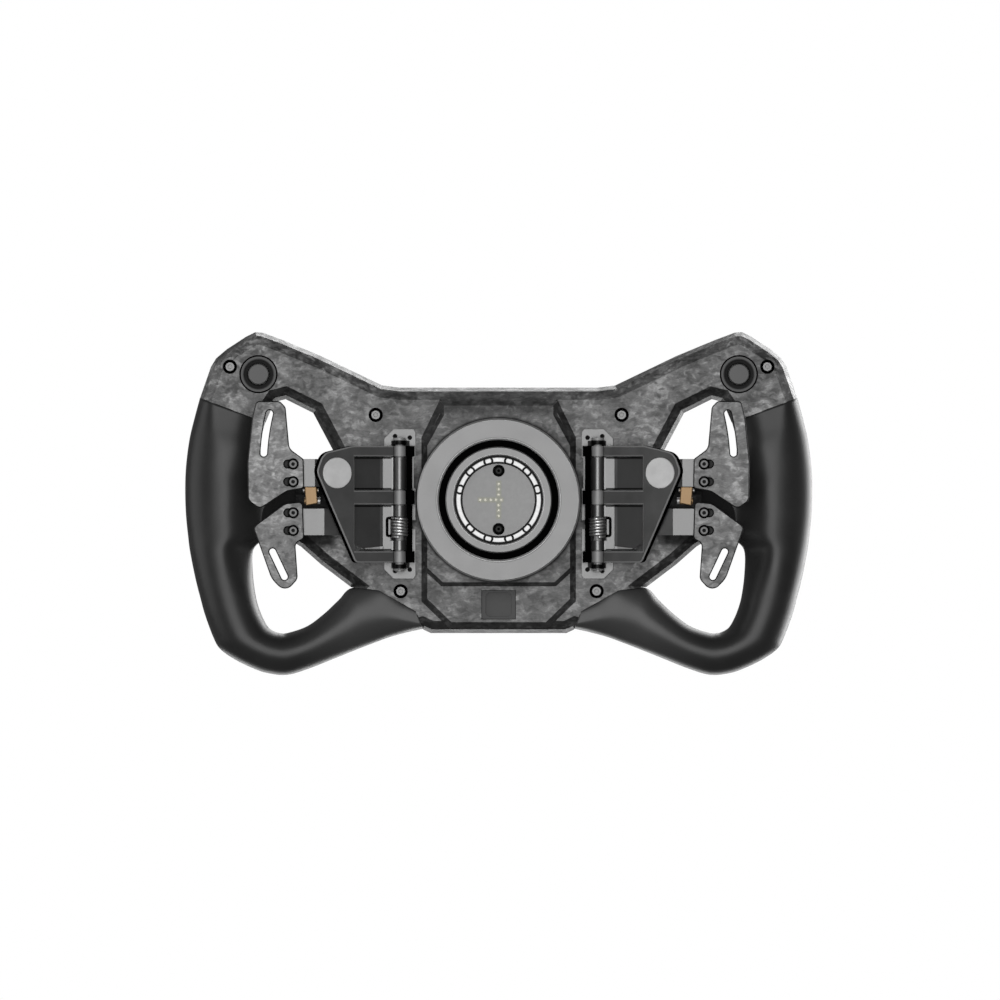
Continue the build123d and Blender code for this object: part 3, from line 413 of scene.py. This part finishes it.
def hub_look():
    """Grey anodised metal turned about the Y axis, with its deep groove painted black as shadow and painted
    highlights on the lips along its edges.
    """
    material, tree, shader, place = start_material("hub_aluminium_look", 0.7)
    waves = {"Vector": place, "Scale": 520.0, "Distortion": 0.6, "Detail": 2.0, "Detail Scale": 3.0}
    rings = add(tree, "TexWave", waves, wave_type="RINGS", rings_direction="Y").outputs["Fac"]
    blotches = noise(tree, place, 12 * MM, 4.0)
    colour = ramp(tree, blotches, ((0.3, grey(0.124)), (0.7, grey(0.137))))
    radius = distance_from(tree, *split_place(tree, place), *ORIGIN)
    # Painted highlights on the lips.
    for inner, outer, shade in HUB_LIP_HIGHLIGHTS:
        colour = covered(tree, colour, band(tree, radius, inner, outer, 0.08), grey(shade))
    # A painted dark line as shade just outside the collar's bore chamfer.
    line = math_node(tree, "MULTIPLY", band(tree, radius, *HUB_EDGE_SHADE, 0.1), 0.5)
    colour = covered(tree, colour, line, grey(0.02))
    # The deep groove painted black as shadow, with less gloss.
    mask = band(tree, radius, *HUB_GROOVE_SHADOW, 0.05)
    colour = covered(tree, colour, mask, BLACK)
    tree.links.new(remap(tree, mask, 0.0, 1.0, 0.5, 0.0), shader.inputs["Specular IOR Level"])
    tree.links.new(colour, shader.inputs["Base Color"])
    tree.links.new(remap(tree, blotches, 0.2, 0.8, 0.36, 0.44), shader.inputs["Roughness"])
    bump(tree, shader, rings, 0.004 * MM, 0.5, 0.15 * MM)
    return material


def moulded(name, base, roughness, texture=0.35, painted=(), **inputs):
    """Moulded plastic or rubber: pores about texture millimetres wide, and a gloss that varies softly."""
    material, tree, shader, place = start_material(name, **inputs)
    pores = add(tree, "TexVoronoi", {"Vector": place, "Scale": 1000 / texture}, feature="SMOOTH_F1")
    clouds = noise(tree, place, 18 * MM, 5.0, 0.6)
    colour = ramp(tree, clouds, ((0.3, grey(base * 0.85)), (0.7, grey(base * 1.15))))
    for *box, shade in painted:
        colour = covered(tree, colour, patch(tree, place, *box), grey(shade))
    tree.links.new(colour, shader.inputs["Base Color"])
    tree.links.new(remap(tree, clouds, 0.2, 0.8, roughness * 0.9, roughness * 1.1),
                   shader.inputs["Roughness"])
    bump(tree, shader, pores.outputs["Distance"], 0.02 * MM, 0.6, 0.3 * MM)
    return material


def lock_ring_look():
    """Ground steel, with painted shade along both rims and round the edge of each ball pocket."""
    material, tree, shader, place = start_material("lock_ring_look", 1.0, Roughness=0.2)
    parts = add(tree, "SeparateXYZ", {"Vector": place})
    across, up = parts.outputs["X"], parts.outputs["Z"]
    radius = distance_from(tree, across, up, *ORIGIN)
    inner, outer = RING_RIMS
    rims = [remap(tree, radius, (inner - 0.3) * MM, inner * MM, 1.0, 0.0),
            remap(tree, radius, outer * MM, (outer + 0.4) * MM, 0.0, 1.0)]
    turned = math_node(tree, "DIVIDE", math_node(tree, "ARCTAN2", up, across), POCKET_STEP)
    folded = math_node(tree, "SUBTRACT", math_node(tree, "FRACT", turned), 0.5)
    aside = math_node(tree, "MULTIPLY", math_node(tree, "MULTIPLY", folded, POCKET_STEP), radius)
    beyond = math_node(tree, "SUBTRACT", radius, POCKET_AT * MM)
    squares = [math_node(tree, "MULTIPLY", value, value) for value in (aside, beyond)]
    from_pocket = math_node(tree, "SQRT", math_node(tree, "ADD", *squares))
    off_edge = math_node(tree, "ABSOLUTE", math_node(tree, "SUBTRACT", from_pocket, POCKET_R * MM))
    edge = remap(tree, off_edge, 0.4 * MM, 0.65 * MM, 1.0, 0.0)
    low, high = NO_POCKET
    plain_sides = math_node(tree, "MULTIPLY", remap(tree, up, low * MM, (low + 0.5) * MM, 0.0, 1.0),
                            remap(tree, up, (high - 0.5) * MM, high * MM, 1.0, 0.0))
    edge = math_node(tree, "SUBTRACT", edge, plain_sides)
    # Painted shade along the rims and round the pocket edges.
    dark = math_node(tree, "MAXIMUM", math_node(tree, "MAXIMUM", *rims), edge)
    speck = ramp(tree, noise(tree, place, 1.5 * MM), ((0.3, grey(0.15)), (0.7, grey(0.19))))
    tree.links.new(covered(tree, speck, dark, grey(0.004)), shader.inputs["Base Color"])
    bump(tree, shader, noise(tree, place, 0.3 * MM), 0.01 * MM, 0.3, 0.25 * MM)
    return material


def contact_face():
    """Grey moulding with a faint beige strip under the column and the row of pads."""
    material, tree, shader, place = start_material("contact_face_look", Roughness=0.5)
    parts = add(tree, "SeparateXYZ", {"Vector": place})
    across, up = parts.outputs["X"], parts.outputs["Z"]

    def inside(value, middle, half):
        away = math_node(tree, "ABSOLUTE", math_node(tree, "SUBTRACT", value, middle * MM))
        return remap(tree, away, (half - 0.35) * MM, (half + 0.35) * MM, 1.0, 0.0)

    def solder(along, aside, shift):
        steps = math_node(tree, "ADD", math_node(tree, "DIVIDE", along, PIN_PITCH * MM), shift)
        from_pad = math_node(tree, "SUBTRACT", math_node(tree, "FRACT", steps), 0.5)
        from_pad = math_node(tree, "MULTIPLY", from_pad, PIN_PITCH * MM)
        return remap(tree, distance_from(tree, from_pad, aside, *ORIGIN), 0.65 * MM, 1.0 * MM, 1.0, 0.0)

    column = math_node(tree, "MULTIPLY", inside(across, 0.0, STRIP_HALF), inside(up, *COLUMN))
    row = math_node(tree, "MULTIPLY", inside(across, *ROW), inside(up, 0.0, STRIP_HALF))
    strip = math_node(tree, "MAXIMUM", column, row)
    off_row = math_node(tree, "SUBTRACT", column, row)
    halo = math_node(tree, "MAXIMUM", math_node(tree, "MULTIPLY", row, solder(across, up, 0.0)),
                     math_node(tree, "MULTIPLY", off_row, solder(up, across, 0.5)))
    speck = noise(tree, place, 2 * MM, 4.0)
    plain = ramp(tree, speck, ((0.3, grey(0.305)), (0.7, grey(0.335))))
    beige = covered(tree, plain, strip, (0.315, 0.32, 0.265, 1.0))
    tree.links.new(covered(tree, beige, halo, (0.52, 0.51, 0.44, 1.0)), shader.inputs["Base Color"])
    bump(tree, shader, noise(tree, place, 0.3 * MM), 0.01 * MM, 0.4, 0.2 * MM)
    return material


def circuit_board():
    """Solder mask with copper tracks under it."""
    material, tree, shader, place = start_material("board_look", Roughness=0.35)
    tracks = add(tree, "TexBrick", {"Vector": place, "Scale": 180.0, "Color1": (0.01, 0.09, 0.04, 1),
                                    "Color2": (0.012, 0.11, 0.05, 1), "Mortar": (0.02, 0.16, 0.07, 1)})
    tree.links.new(tracks.outputs["Color"], shader.inputs["Base Color"])
    bump(tree, shader, tracks.outputs["Fac"], 0.03 * MM, 0.5)
    return material


def smoked_lens():
    """Dark glossy cover with faint bars behind it."""
    material, tree, shader, place = start_material(
        "lens_look", **{"Coat Weight": 0.6, "Coat Roughness": 0.05})
    strips = add(tree, "TexWave", {"Vector": place, "Scale": 60.0}, bands_direction="X").outputs["Fac"]
    stops = ((0.3, grey(0.012)), (0.75, grey(0.03)), (0.9, (0.10, 0.10, 0.11, 1)))
    tree.links.new(ramp(tree, strips, stops), shader.inputs["Base Color"])
    tree.links.new(remap(tree, strips, 0.0, 1.0, 0.1, 0.3), shader.inputs["Roughness"])
    return material


looks = {
    "forged_carbon": forged_carbon("rear_carbon_look", 0.104, rear=True),
    "front_carbon": forged_carbon("front_carbon_look", 0.104, 5.1),
    "chassis": metal("chassis_look", grey(0.20), 0.5, 0.7),
    "grip_rubber": moulded("rubber_look", 0.018, 0.40, 0.5, painted=LOWER_GRIP_LIGHT,
                           **{"Specular IOR Level": 0.35}),
    "black_screw": metal("black_screw_look", grey(0.003), 0.5, 0.0, **{"Specular IOR Level": 0.03}),
    "steel_screw": metal("steel_screw_look", grey(0.105), 0.35, 0.7),
    "hub_aluminium": hub_look(),
    "polished_steel": lock_ring_look(),
    "contact_face": contact_face(),
    "gold": metal("gold_look", (0.36, 0.35, 0.30), 0.4, 0.5),
    "black_steel": moulded("black_steel_look", 0.0006, 0.6, **{"Specular IOR Level": 0.02}),
    "spring_steel": metal("spring_steel_look", grey(0.75), 0.35, 1.0, painted=SPRING_LOOP_SHADOW),
    "black_plastic": moulded("black_plastic_look", 0.012, 0.5, **{"Specular IOR Level": 0.3}),
    "button_grey": moulded("button_grey_look", 0.07, 0.5),
    "port_rubber": moulded("port_rubber_look", 0.070, 0.6, **{"Specular IOR Level": 0.3}),
    # Painted shadow on the arms' ends under the paddles.
    "bracket_steel": metal("bracket_steel_look", grey(0.106), 0.36, 0.85, painted=BLADE_SHADOW),
    "pin_steel": metal("pin_steel_look", grey(0.28), 0.55, 0.4),
    "carrier_black": carrier_look(),
    "magnet": metal("magnet_look", grey(0.58), 0.5, 0.0),
    "brass": metal("brass_look", (0.192, 0.122, 0.060), 0.42, 0.6, ADJUSTER_ENDS),
    "board": circuit_board(),
    "button_cap": moulded("button_cap_look", 0.05, 0.4),
    "knob_aluminium": metal("knob_aluminium_look", grey(0.05), 0.35, 0.7),
    "lens": smoked_lens(),
}
# The paddles' carbon, with painted shade on its chamfers and sides.
blade_look = forged_carbon("blade_carbon_look", 0.168, 9.3, 0.75, edge_shaded=True)
# Screws on the paddles: the socket and a ring round the head are painted dark as shade.
blade_screw_look = ringed("blade_screw_look", BLADE_SCREWS, 3.0,
                          ((0.75, 0.003), (0.95, 0.047), (1.6, 0.047), (1.85, 0.006)), 1.0, 0.3)
# Levers and bracket bases, with the painted shadow and light of the rectangles above.
lever_look = metal("lever_look", grey(0.106), 0.36, 0.85, painted=BLADE_SHADOW + LEVER_LIGHT_AND_SHADE)
base_look = metal("bracket_base_look", grey(0.106), 0.36, 0.85, painted=BRACKET_SHADOW)
# The spoke's rubber: a darker copy of the grip rubber, as painted shade under the paddles.
shaded_spoke_look = moulded("spoke_shaded_rubber_look", 0.007, 0.5, **{"Specular IOR Level": 0.1})
own_looks = {
    # The rear buttons' bezels: a painted highlight on the flange's outer edge and painted shade at the inner
    # edge.
    "rear_button_bezels": ringed(
        "bezel_look", (REAR_BUTTON_AT,), 10.0,
        ((5.2, 0.003), (6.0, 0.013), (7.1, 0.026), (7.8, 0.13), (8.3, 0.12)),
        0.0, 0.5, **{"Specular IOR Level": 0.06}),
    "contact_screws": ringed(
        "contact_screw_look", CONTACT_SCREWS, 3.0,
        ((0.6, 0.0005), (0.9, 0.014), (1.25, 0.014), (1.6, 0.0008)), 1.0, 0.35),
}
for own_side, _ in SIDES:
    for kind, look in (("_shift_blade", blade_look), ("_clutch_blade", blade_look),
                       ("_shift_screws", blade_screw_look), ("_clutch_screws", blade_screw_look),
                       ("_hinge_bracket", base_look), ("_clutch_lever", lever_look)):
        own_looks[own_side + kind] = look


def dress_cad_nodes():
    """Each CAD node gets the look of its material slot."""
    for part in frame["record"]["subparts"]:
        mesh = nodes[part["node"]].data
        mesh.materials.clear()
        mesh.materials.append(own_looks.get(part["node"], looks[part["material_slot"]]))


def finish_piece(piece, body, slot):
    piece.data.materials.append(looks[slot])
    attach(piece, body)


def skin(mesh, loops):
    """Faces between loops of vertices, and over both ends."""
    for first, second in zip(loops[:-1], loops[1:]):
        for k in range(len(first)):
            after = (k + 1) % len(first)
            mesh.faces.new((first[k], first[after], second[after], second[k]))
    mesh.faces.new(loops[0])
    mesh.faces.new(loops[-1])


def object_from(mesh, name):
    """A linked object from a finished bmesh, with its faces turned outward."""
    bmesh.ops.recalc_face_normals(mesh, faces=mesh.faces)
    data = bpy.data.meshes.new(name)
    mesh.to_mesh(data)
    mesh.free()
    piece = bpy.data.objects.new(name, data)
    bpy.context.scene.collection.objects.link(piece)
    return piece


# ---- grips ----
# Stations down the +X grip, from the shell's wing to the lower panel, in millimetres: the outer and the
# inner edge, the share of the height that the inner edge keeps where it meets the shell, half the depth,
# how round the outer side is, and how far the inner side is hollowed from the ridge.
GRIP_STATIONS = [
    ((143.7, 49.0), (112.2, 37.5), 0.00, 12.0, 0.45, 0.0),
    ((146.6, 38.2), (114.0, 30.5), 0.00, 13.2, 0.72, 0.0),
    ((148.8, 28.7), (114.5, 24.0), 0.15, 14.4, 0.95, 0.0),
    ((150.4, 16.0), (113.7, 14.5), 0.35, 15.0, 1.00, 0.3),
    ((150.8, 4.0), (112.0, 7.0), 0.50, 15.0, 1.00, 1.0),
    ((150.4, -7.5), (112.5, -6.5), 0.50, 15.0, 1.00, 1.0),
    ((149.4, -17.5), (112.6, -17.5), 0.45, 15.0, 1.00, 1.0),
    ((148.4, -25.2), (118.0, -24.0), 0.15, 15.0, 1.00, 0.6),
    ((145.9, -37.7), (118.2, -35.5), 0.00, 15.0, 1.00, 0.2),
    ((143.6, -46.8), (116.7, -46.9), 0.00, 15.0, 1.00, 0.0),
    ((141.2, -55.5), (114.6, -54.0), 0.00, 15.0, 1.00, 0.0),
    ((137.1, -66.5), (112.4, -58.8), 0.00, 15.0, 1.00, 0.0),
    ((133.9, -71.8), (110.8, -61.3), 0.00, 15.0, 1.00, 0.0),
    ((127.2, -76.6), (109.2, -62.6), 0.00, 15.0, 1.00, 0.0),
    ((118.7, -80.8), (107.2, -63.6), 0.00, 15.0, 1.00, 0.0),
    ((111.4, -83.3), (105.0, -64.1), 0.00, 15.0, 1.00, 0.0),
    ((101.8, -84.2), (101.5, -64.0), 0.00, 14.8, 1.00, 0.0),
    ((91.3, -81.2), (92.2, -60.8), 0.00, 14.5, 1.00, 0.0),
    ((79.0, -76.3), (84.0, -54.8), 0.00, 14.2, 1.00, 0.0),
    ((68.0, -71.9), (77.0, -48.2), 0.00, 13.8, 1.00, 0.0),
    ((60.0, -68.8), (70.5, -42.3), 0.25, 13.4, 1.00, 0.0),
    ((52.0, -65.9), (57.6, -43.5), 0.85, 12.9, 1.00, 0.0),
    ((43.5, -63.6), (46.5, -49.9), 0.90, 12.4, 0.90, 0.0),
    ((36.3, -62.0), (39.6, -53.6), 0.95, 12.1, 0.60, 0.0),
]
# The rubber over the spoke between the finger holes, which the grip's ridge runs down into.
SPOKE = [(97.5, 8.4), (108.4, 8.4), (113.5, 13.9), (124.0, 13.9), (124.0, -20.7), (97.5, -20.7)]
SPOKE_HALF = 7.6
STEPS_BETWEEN = 6
ACROSS = 22
ROUND_POWER = 2.15


def through(values, steps):
    """Catmull-Rom values between stations, each value a tuple of numbers."""
    found = []
    for i in range(len(values) - 1):
        before, a, b, after = (values[max(0, min(len(values) - 1, i + k))] for k in (-1, 0, 1, 2))
        for step in range(steps):
            t = step / steps
            weights = (-t + 2 * t**2 - t**3, 2 - 5 * t**2 + 3 * t**3, t + 4 * t**2 - 3 * t**3, t**3 - t**2)
            found.append(tuple(sum(w * v for w, v in zip(weights, point)) / 2
                               for point in zip(before, a, b, after)))
    return found + [values[-1]]


def rounding(distance, radius):
    """Height of a round edge, from 0 at the edge to 1 at radius from it."""
    away = 1 - min(distance / radius, 1.0)
    return (1 - away**ROUND_POWER) ** (1 / ROUND_POWER)


def grip_height(share, width, held, roundness, hollow):
    """How far the grip stands from its middle plane, from 0 to 1, at a share of its width."""
    outer = rounding(share * width, 0.5 * width * roundness)
    climb = min(2 * (1 - share), 1.0)
    domed = rounding((1 - share) * width, 0.5 * width)
    inner = domed + (climb * climb * (3 - 2 * climb) - domed) * hollow
    return outer * (held + (1 - held) * inner)


def add_spoke(mesh, sign, middle):
    """A flat slab of rubber between the finger holes."""
    rims = []
    for face in (-1, 1):
        depth = middle + face * SPOKE_HALF * MM
        rims.append([mesh.verts.new((sign * x * MM, depth, z * MM)) for x, z in SPOKE])
    near, far = rims
    faces = [mesh.faces.new(near), mesh.faces.new(far)]
    for k in range(len(SPOKE)):
        after = (k + 1) % len(SPOKE)
        faces.append(mesh.faces.new((near[k], near[after], far[after], far[k])))
    for face in faces:
        face.material_index = 1


def make_grip(side, sign):
    low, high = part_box(side + "_grip")
    middle = (low.y + high.y) / 2
    rows = [(*outer, *inner, *rest) for outer, inner, *rest in GRIP_STATIONS]
    mesh = bmesh.new()
    loops = []
    for *edges, held, depth, roundness, hollow in through(rows, STEPS_BETWEEN):
        outer, inner = Vector(edges[:2]), Vector(edges[2:])
        width = (outer - inner).length
        shape = (max(held, 0.0), min(roundness, 1.0), min(max(hollow, 0.0), 1.0))
        loop = []
        for face in (-1, 1):
            for k in range(ACROSS + 1):
                step = k if face < 0 else ACROSS - k
                share = (1 - cos(pi * step / ACROSS)) / 2
                place = outer.lerp(inner, share)
                height = depth * grip_height(share, width, *shape)
                loop.append(mesh.verts.new((sign * place.x * MM, middle + face * height * MM, place.y * MM)))
        loops.append(loop)
    skin(mesh, loops)
    bmesh.ops.remove_doubles(mesh, verts=mesh.verts, dist=0.01 * MM)
    for face in mesh.faces:
        face.smooth = len(face.verts) <= 4
    add_spoke(mesh, sign, middle)
    piece = object_from(mesh, side + "_grip_rubber")
    finish_piece(piece, "wheel_body", "grip_rubber")
    # The spoke gets the darker rubber, as painted shade.
    piece.data.materials.append(shaded_spoke_look)
    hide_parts(side + "_grip")


# ---- springs ----
# The torsion spring, in millimetres: the hinge's X and Y, the coil's Z range, its mean and wire radius.
HINGE = (47.6, 23.0)
SPRING_SPAN = (-17.9, -9.0)
SPRING_MEAN = 3.5
SPRING_WIRE = 0.65
SPRING_TURNS = 6
SPRING_STEPS = 28
SPRING_LEG_LIFT = 0.1
# Its loop: where each leg starts and ends past the hinge, the far side's X, how far the legs stand from the
# coil's ends, and the corners' radius.
LEG_FROM = 3.6
LEG_TO = 4.0
LOOP_X = 53.6
UPPER_LEG_OFF = 0.3
LOWER_LEG_OFF = 0.6
LOOP_CORNER_R = 0.9
# The wave spring, in millimetres.
WAVE_RADII = (26.3, 28.5)
WAVE_TURNS = 3
WAVE_STEPS = 90
WAVES_PER_TURN = 4.5
WAVE_HEIGHT = 0.5
WAVE_THICKNESS = 0.4


def tube_along(mesh, points, radius, sides=10):
    """A round wire through points, closed at both ends."""
    rings = []
    reference = Vector((0, 0, 1))
    for k, point in enumerate(points):
        heading = (points[min(k + 1, len(points) - 1)] - points[max(k - 1, 0)]).normalized()
        reference = (reference - heading * reference.dot(heading)).normalized()
        other = heading.cross(reference)
        rings.append([mesh.verts.new(point + radius * (reference * cos(a) + other * sin(a)))
                      for a in (2 * pi * side / sides for side in range(sides))])
    skin(mesh, rings)


def rounded_path(corners, radius, steps=5):
    """Straight runs through corners, with each corner turned by a short curve."""
    path = [corners[0]]
    for before, corner, after in zip(corners[:-2], corners[1:-1], corners[2:]):
        start = corner + (before - corner).normalized() * radius
        end = corner + (after - corner).normalized() * radius
        for step in range(steps + 1):
            t = step / steps
            path.append(start.lerp(corner, t).lerp(corner.lerp(end, t), t))
    return path + [corners[-1]]


def make_spring(side, sign):
    """A torsion spring: coils round the hinge pin, and a square loop that rests on the clutch lever."""
    x, y = HINGE
    low, high = SPRING_SPAN
    turns = SPRING_TURNS * SPRING_STEPS
    coil = []
    for step in range(turns + 1):
        angle = 2 * pi * step / SPRING_STEPS
        z = low + (high - low) * step / turns
        coil.append(Vector((x + SPRING_MEAN * sin(angle), y - SPRING_MEAN * cos(angle), z)))
    rest = y - SPRING_LEG_LIFT
    upper, lower = high + UPPER_LEG_OFF, low + LOWER_LEG_OFF
    corners = [coil[-1], Vector((x + LEG_FROM, rest, upper)), Vector((LOOP_X, rest, upper)),
               Vector((LOOP_X, rest, lower)), Vector((x + LEG_TO, rest, lower))]
    path = coil[:-1] + rounded_path(corners, LOOP_CORNER_R)
    mesh = bmesh.new()
    tube_along(mesh, [Vector((sign * p.x, p.y, p.z)) * MM for p in path], SPRING_WIRE * MM)
    for face in mesh.faces:
        face.smooth = len(face.verts) <= 4
    piece = object_from(mesh, side + "_spring_wire")
    piece.data.materials.append(looks["spring_steel"])
    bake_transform(piece)
    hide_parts(side + "_torsion_spring")


def make_wave_spring():
    """Flat wire wound in waves behind the release collar."""
    low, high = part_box("collar_spring")
    steps = WAVE_TURNS * WAVE_STEPS
    half = WAVE_THICKNESS / 2 * MM
    start = low.y + WAVE_HEIGHT * MM + half
    climb = high.y - WAVE_HEIGHT * MM - half - start
    mesh = bmesh.new()
    loops = []
    for step in range(steps + 1):
        angle = 2 * pi * step / WAVE_STEPS
        y = start + climb * step / steps + WAVE_HEIGHT * MM * sin(WAVES_PER_TURN * angle)
        inner, outer = ((radius * MM * cos(angle), radius * MM * sin(angle)) for radius in WAVE_RADII)
        loops.append([mesh.verts.new((x, depth, z)) for (x, z), depth in (
            (inner, y - half), (outer, y - half), (outer, y + half), (inner, y + half))])
    skin(mesh, loops)
    piece = object_from(mesh, "collar_wave_spring")
    finish_piece(piece, "wheel_body", "spring_steel")
    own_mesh(piece)
    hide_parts("collar_spring")


# ---- stage, light and camera ----
# Metres and watts; the floor's glow and the world's light are shares of white.
WORLD_LIGHT = 0.17
FLOOR_SIZE = 9.0
FLOOR_Z = -0.75
FLOOR_GLOW = 0.86
CAMERA_LENS = 958.4
CAMERA_AT = (0.00065, -12.765, -0.00007)
LIGHTS_TARGET = (0.0, 0.03, 0.0)
# Each light's name, place, size and power.
LIGHTS = (
    ("key_light", (-0.10, -2.15, 0.15), (1.35, 1.35), 30),
    ("left_light", (-2.0, -0.25, 0.1), (1.6, 1.6), 12),
    ("right_rim_light", (1.7, 1.5, 0.0), (2.0, 1.7), 57),
    ("top_rim_light", (0.7, 1.9, 1.0), (1.8, 1.0), 20),
    ("low_rim_light", (0.0, 0.9, -0.5), (1.0, 0.35), 2.8),
)


def add_area(name, place, size, power):
    """A soft light that points at the object and isn't seen itself."""
    light = bpy.data.lights.new(name, "AREA")
    light.shape = "RECTANGLE"
    light.size, light.size_y = size
    light.energy = power
    lamp = bpy.data.objects.new(name, light)
    lamp.location = place
    lamp.rotation_euler = (Vector(LIGHTS_TARGET) - Vector(place)).to_track_quat("-Z", "Y").to_euler()
    lamp.visible_camera = False
    bpy.context.scene.collection.objects.link(lamp)


def set_world():
    """White behind the object, and a dimmer grey that lights it."""
    world = bpy.data.worlds.new("studio")
    bpy.context.scene.world = world
    world.use_nodes = True
    tree = world.node_tree
    tree.nodes.clear()
    seen = add(tree, "Background", {"Color": (1, 1, 1, 1), "Strength": 1.0})
    lighting = add(tree, "Background", {"Color": (1, 1, 1, 1), "Strength": WORLD_LIGHT})
    path = add(tree, "LightPath")
    both = add(tree, "MixShader", {0: path.outputs["Is Camera Ray"], 1: lighting.outputs[0],
                                   2: seen.outputs[0]})
    out = add(tree, "OutputWorld")
    tree.links.new(both.outputs[0], out.inputs["Surface"])


def set_floor():
    """A pale, nearly white floor far below the object, which adds nothing to the light on it."""
    material, tree, shader, place = start_material(
        "floor_look", Roughness=0.9, **{"Emission Color": grey(1.0), "Emission Strength": FLOOR_GLOW})
    shade = ramp(tree, noise(tree, place, 0.5), ((0.3, grey(0.030)), (0.7, grey(0.034))))
    tree.links.new(shade, shader.inputs["Base Color"])
    data = bpy.data.meshes.new("floor")
    half = FLOOR_SIZE / 2
    corners = [(-half, -half), (half, -half), (half, half), (-half, half)]
    data.from_pydata([(x, y, FLOOR_Z) for x, y in corners], [], [(0, 1, 2, 3)])
    data.materials.append(material)
    floor = bpy.data.objects.new("floor", data)
    floor.visible_diffuse = False
    floor.visible_glossy = False
    floor.visible_shadow = False
    bpy.context.scene.collection.objects.link(floor)


def set_camera():
    camera = bpy.data.cameras.new("camera")
    camera.lens = CAMERA_LENS
    camera.sensor_width = 36.0
    view = bpy.data.objects.new("camera", camera)
    view.location = CAMERA_AT
    view.rotation_euler = (pi / 2, 0, 0)
    bpy.context.scene.collection.objects.link(view)
    bpy.context.scene.camera = view


dress_cad_nodes()
for side, sign in SIDES:
    make_grip(side, sign)
    make_spring(side, sign)
make_wave_spring()

set_world()
set_floor()
set_camera()
for lamp_row in LIGHTS:
    add_area(*lamp_row)
bpy.context.scene.view_settings.view_transform = "Standard"
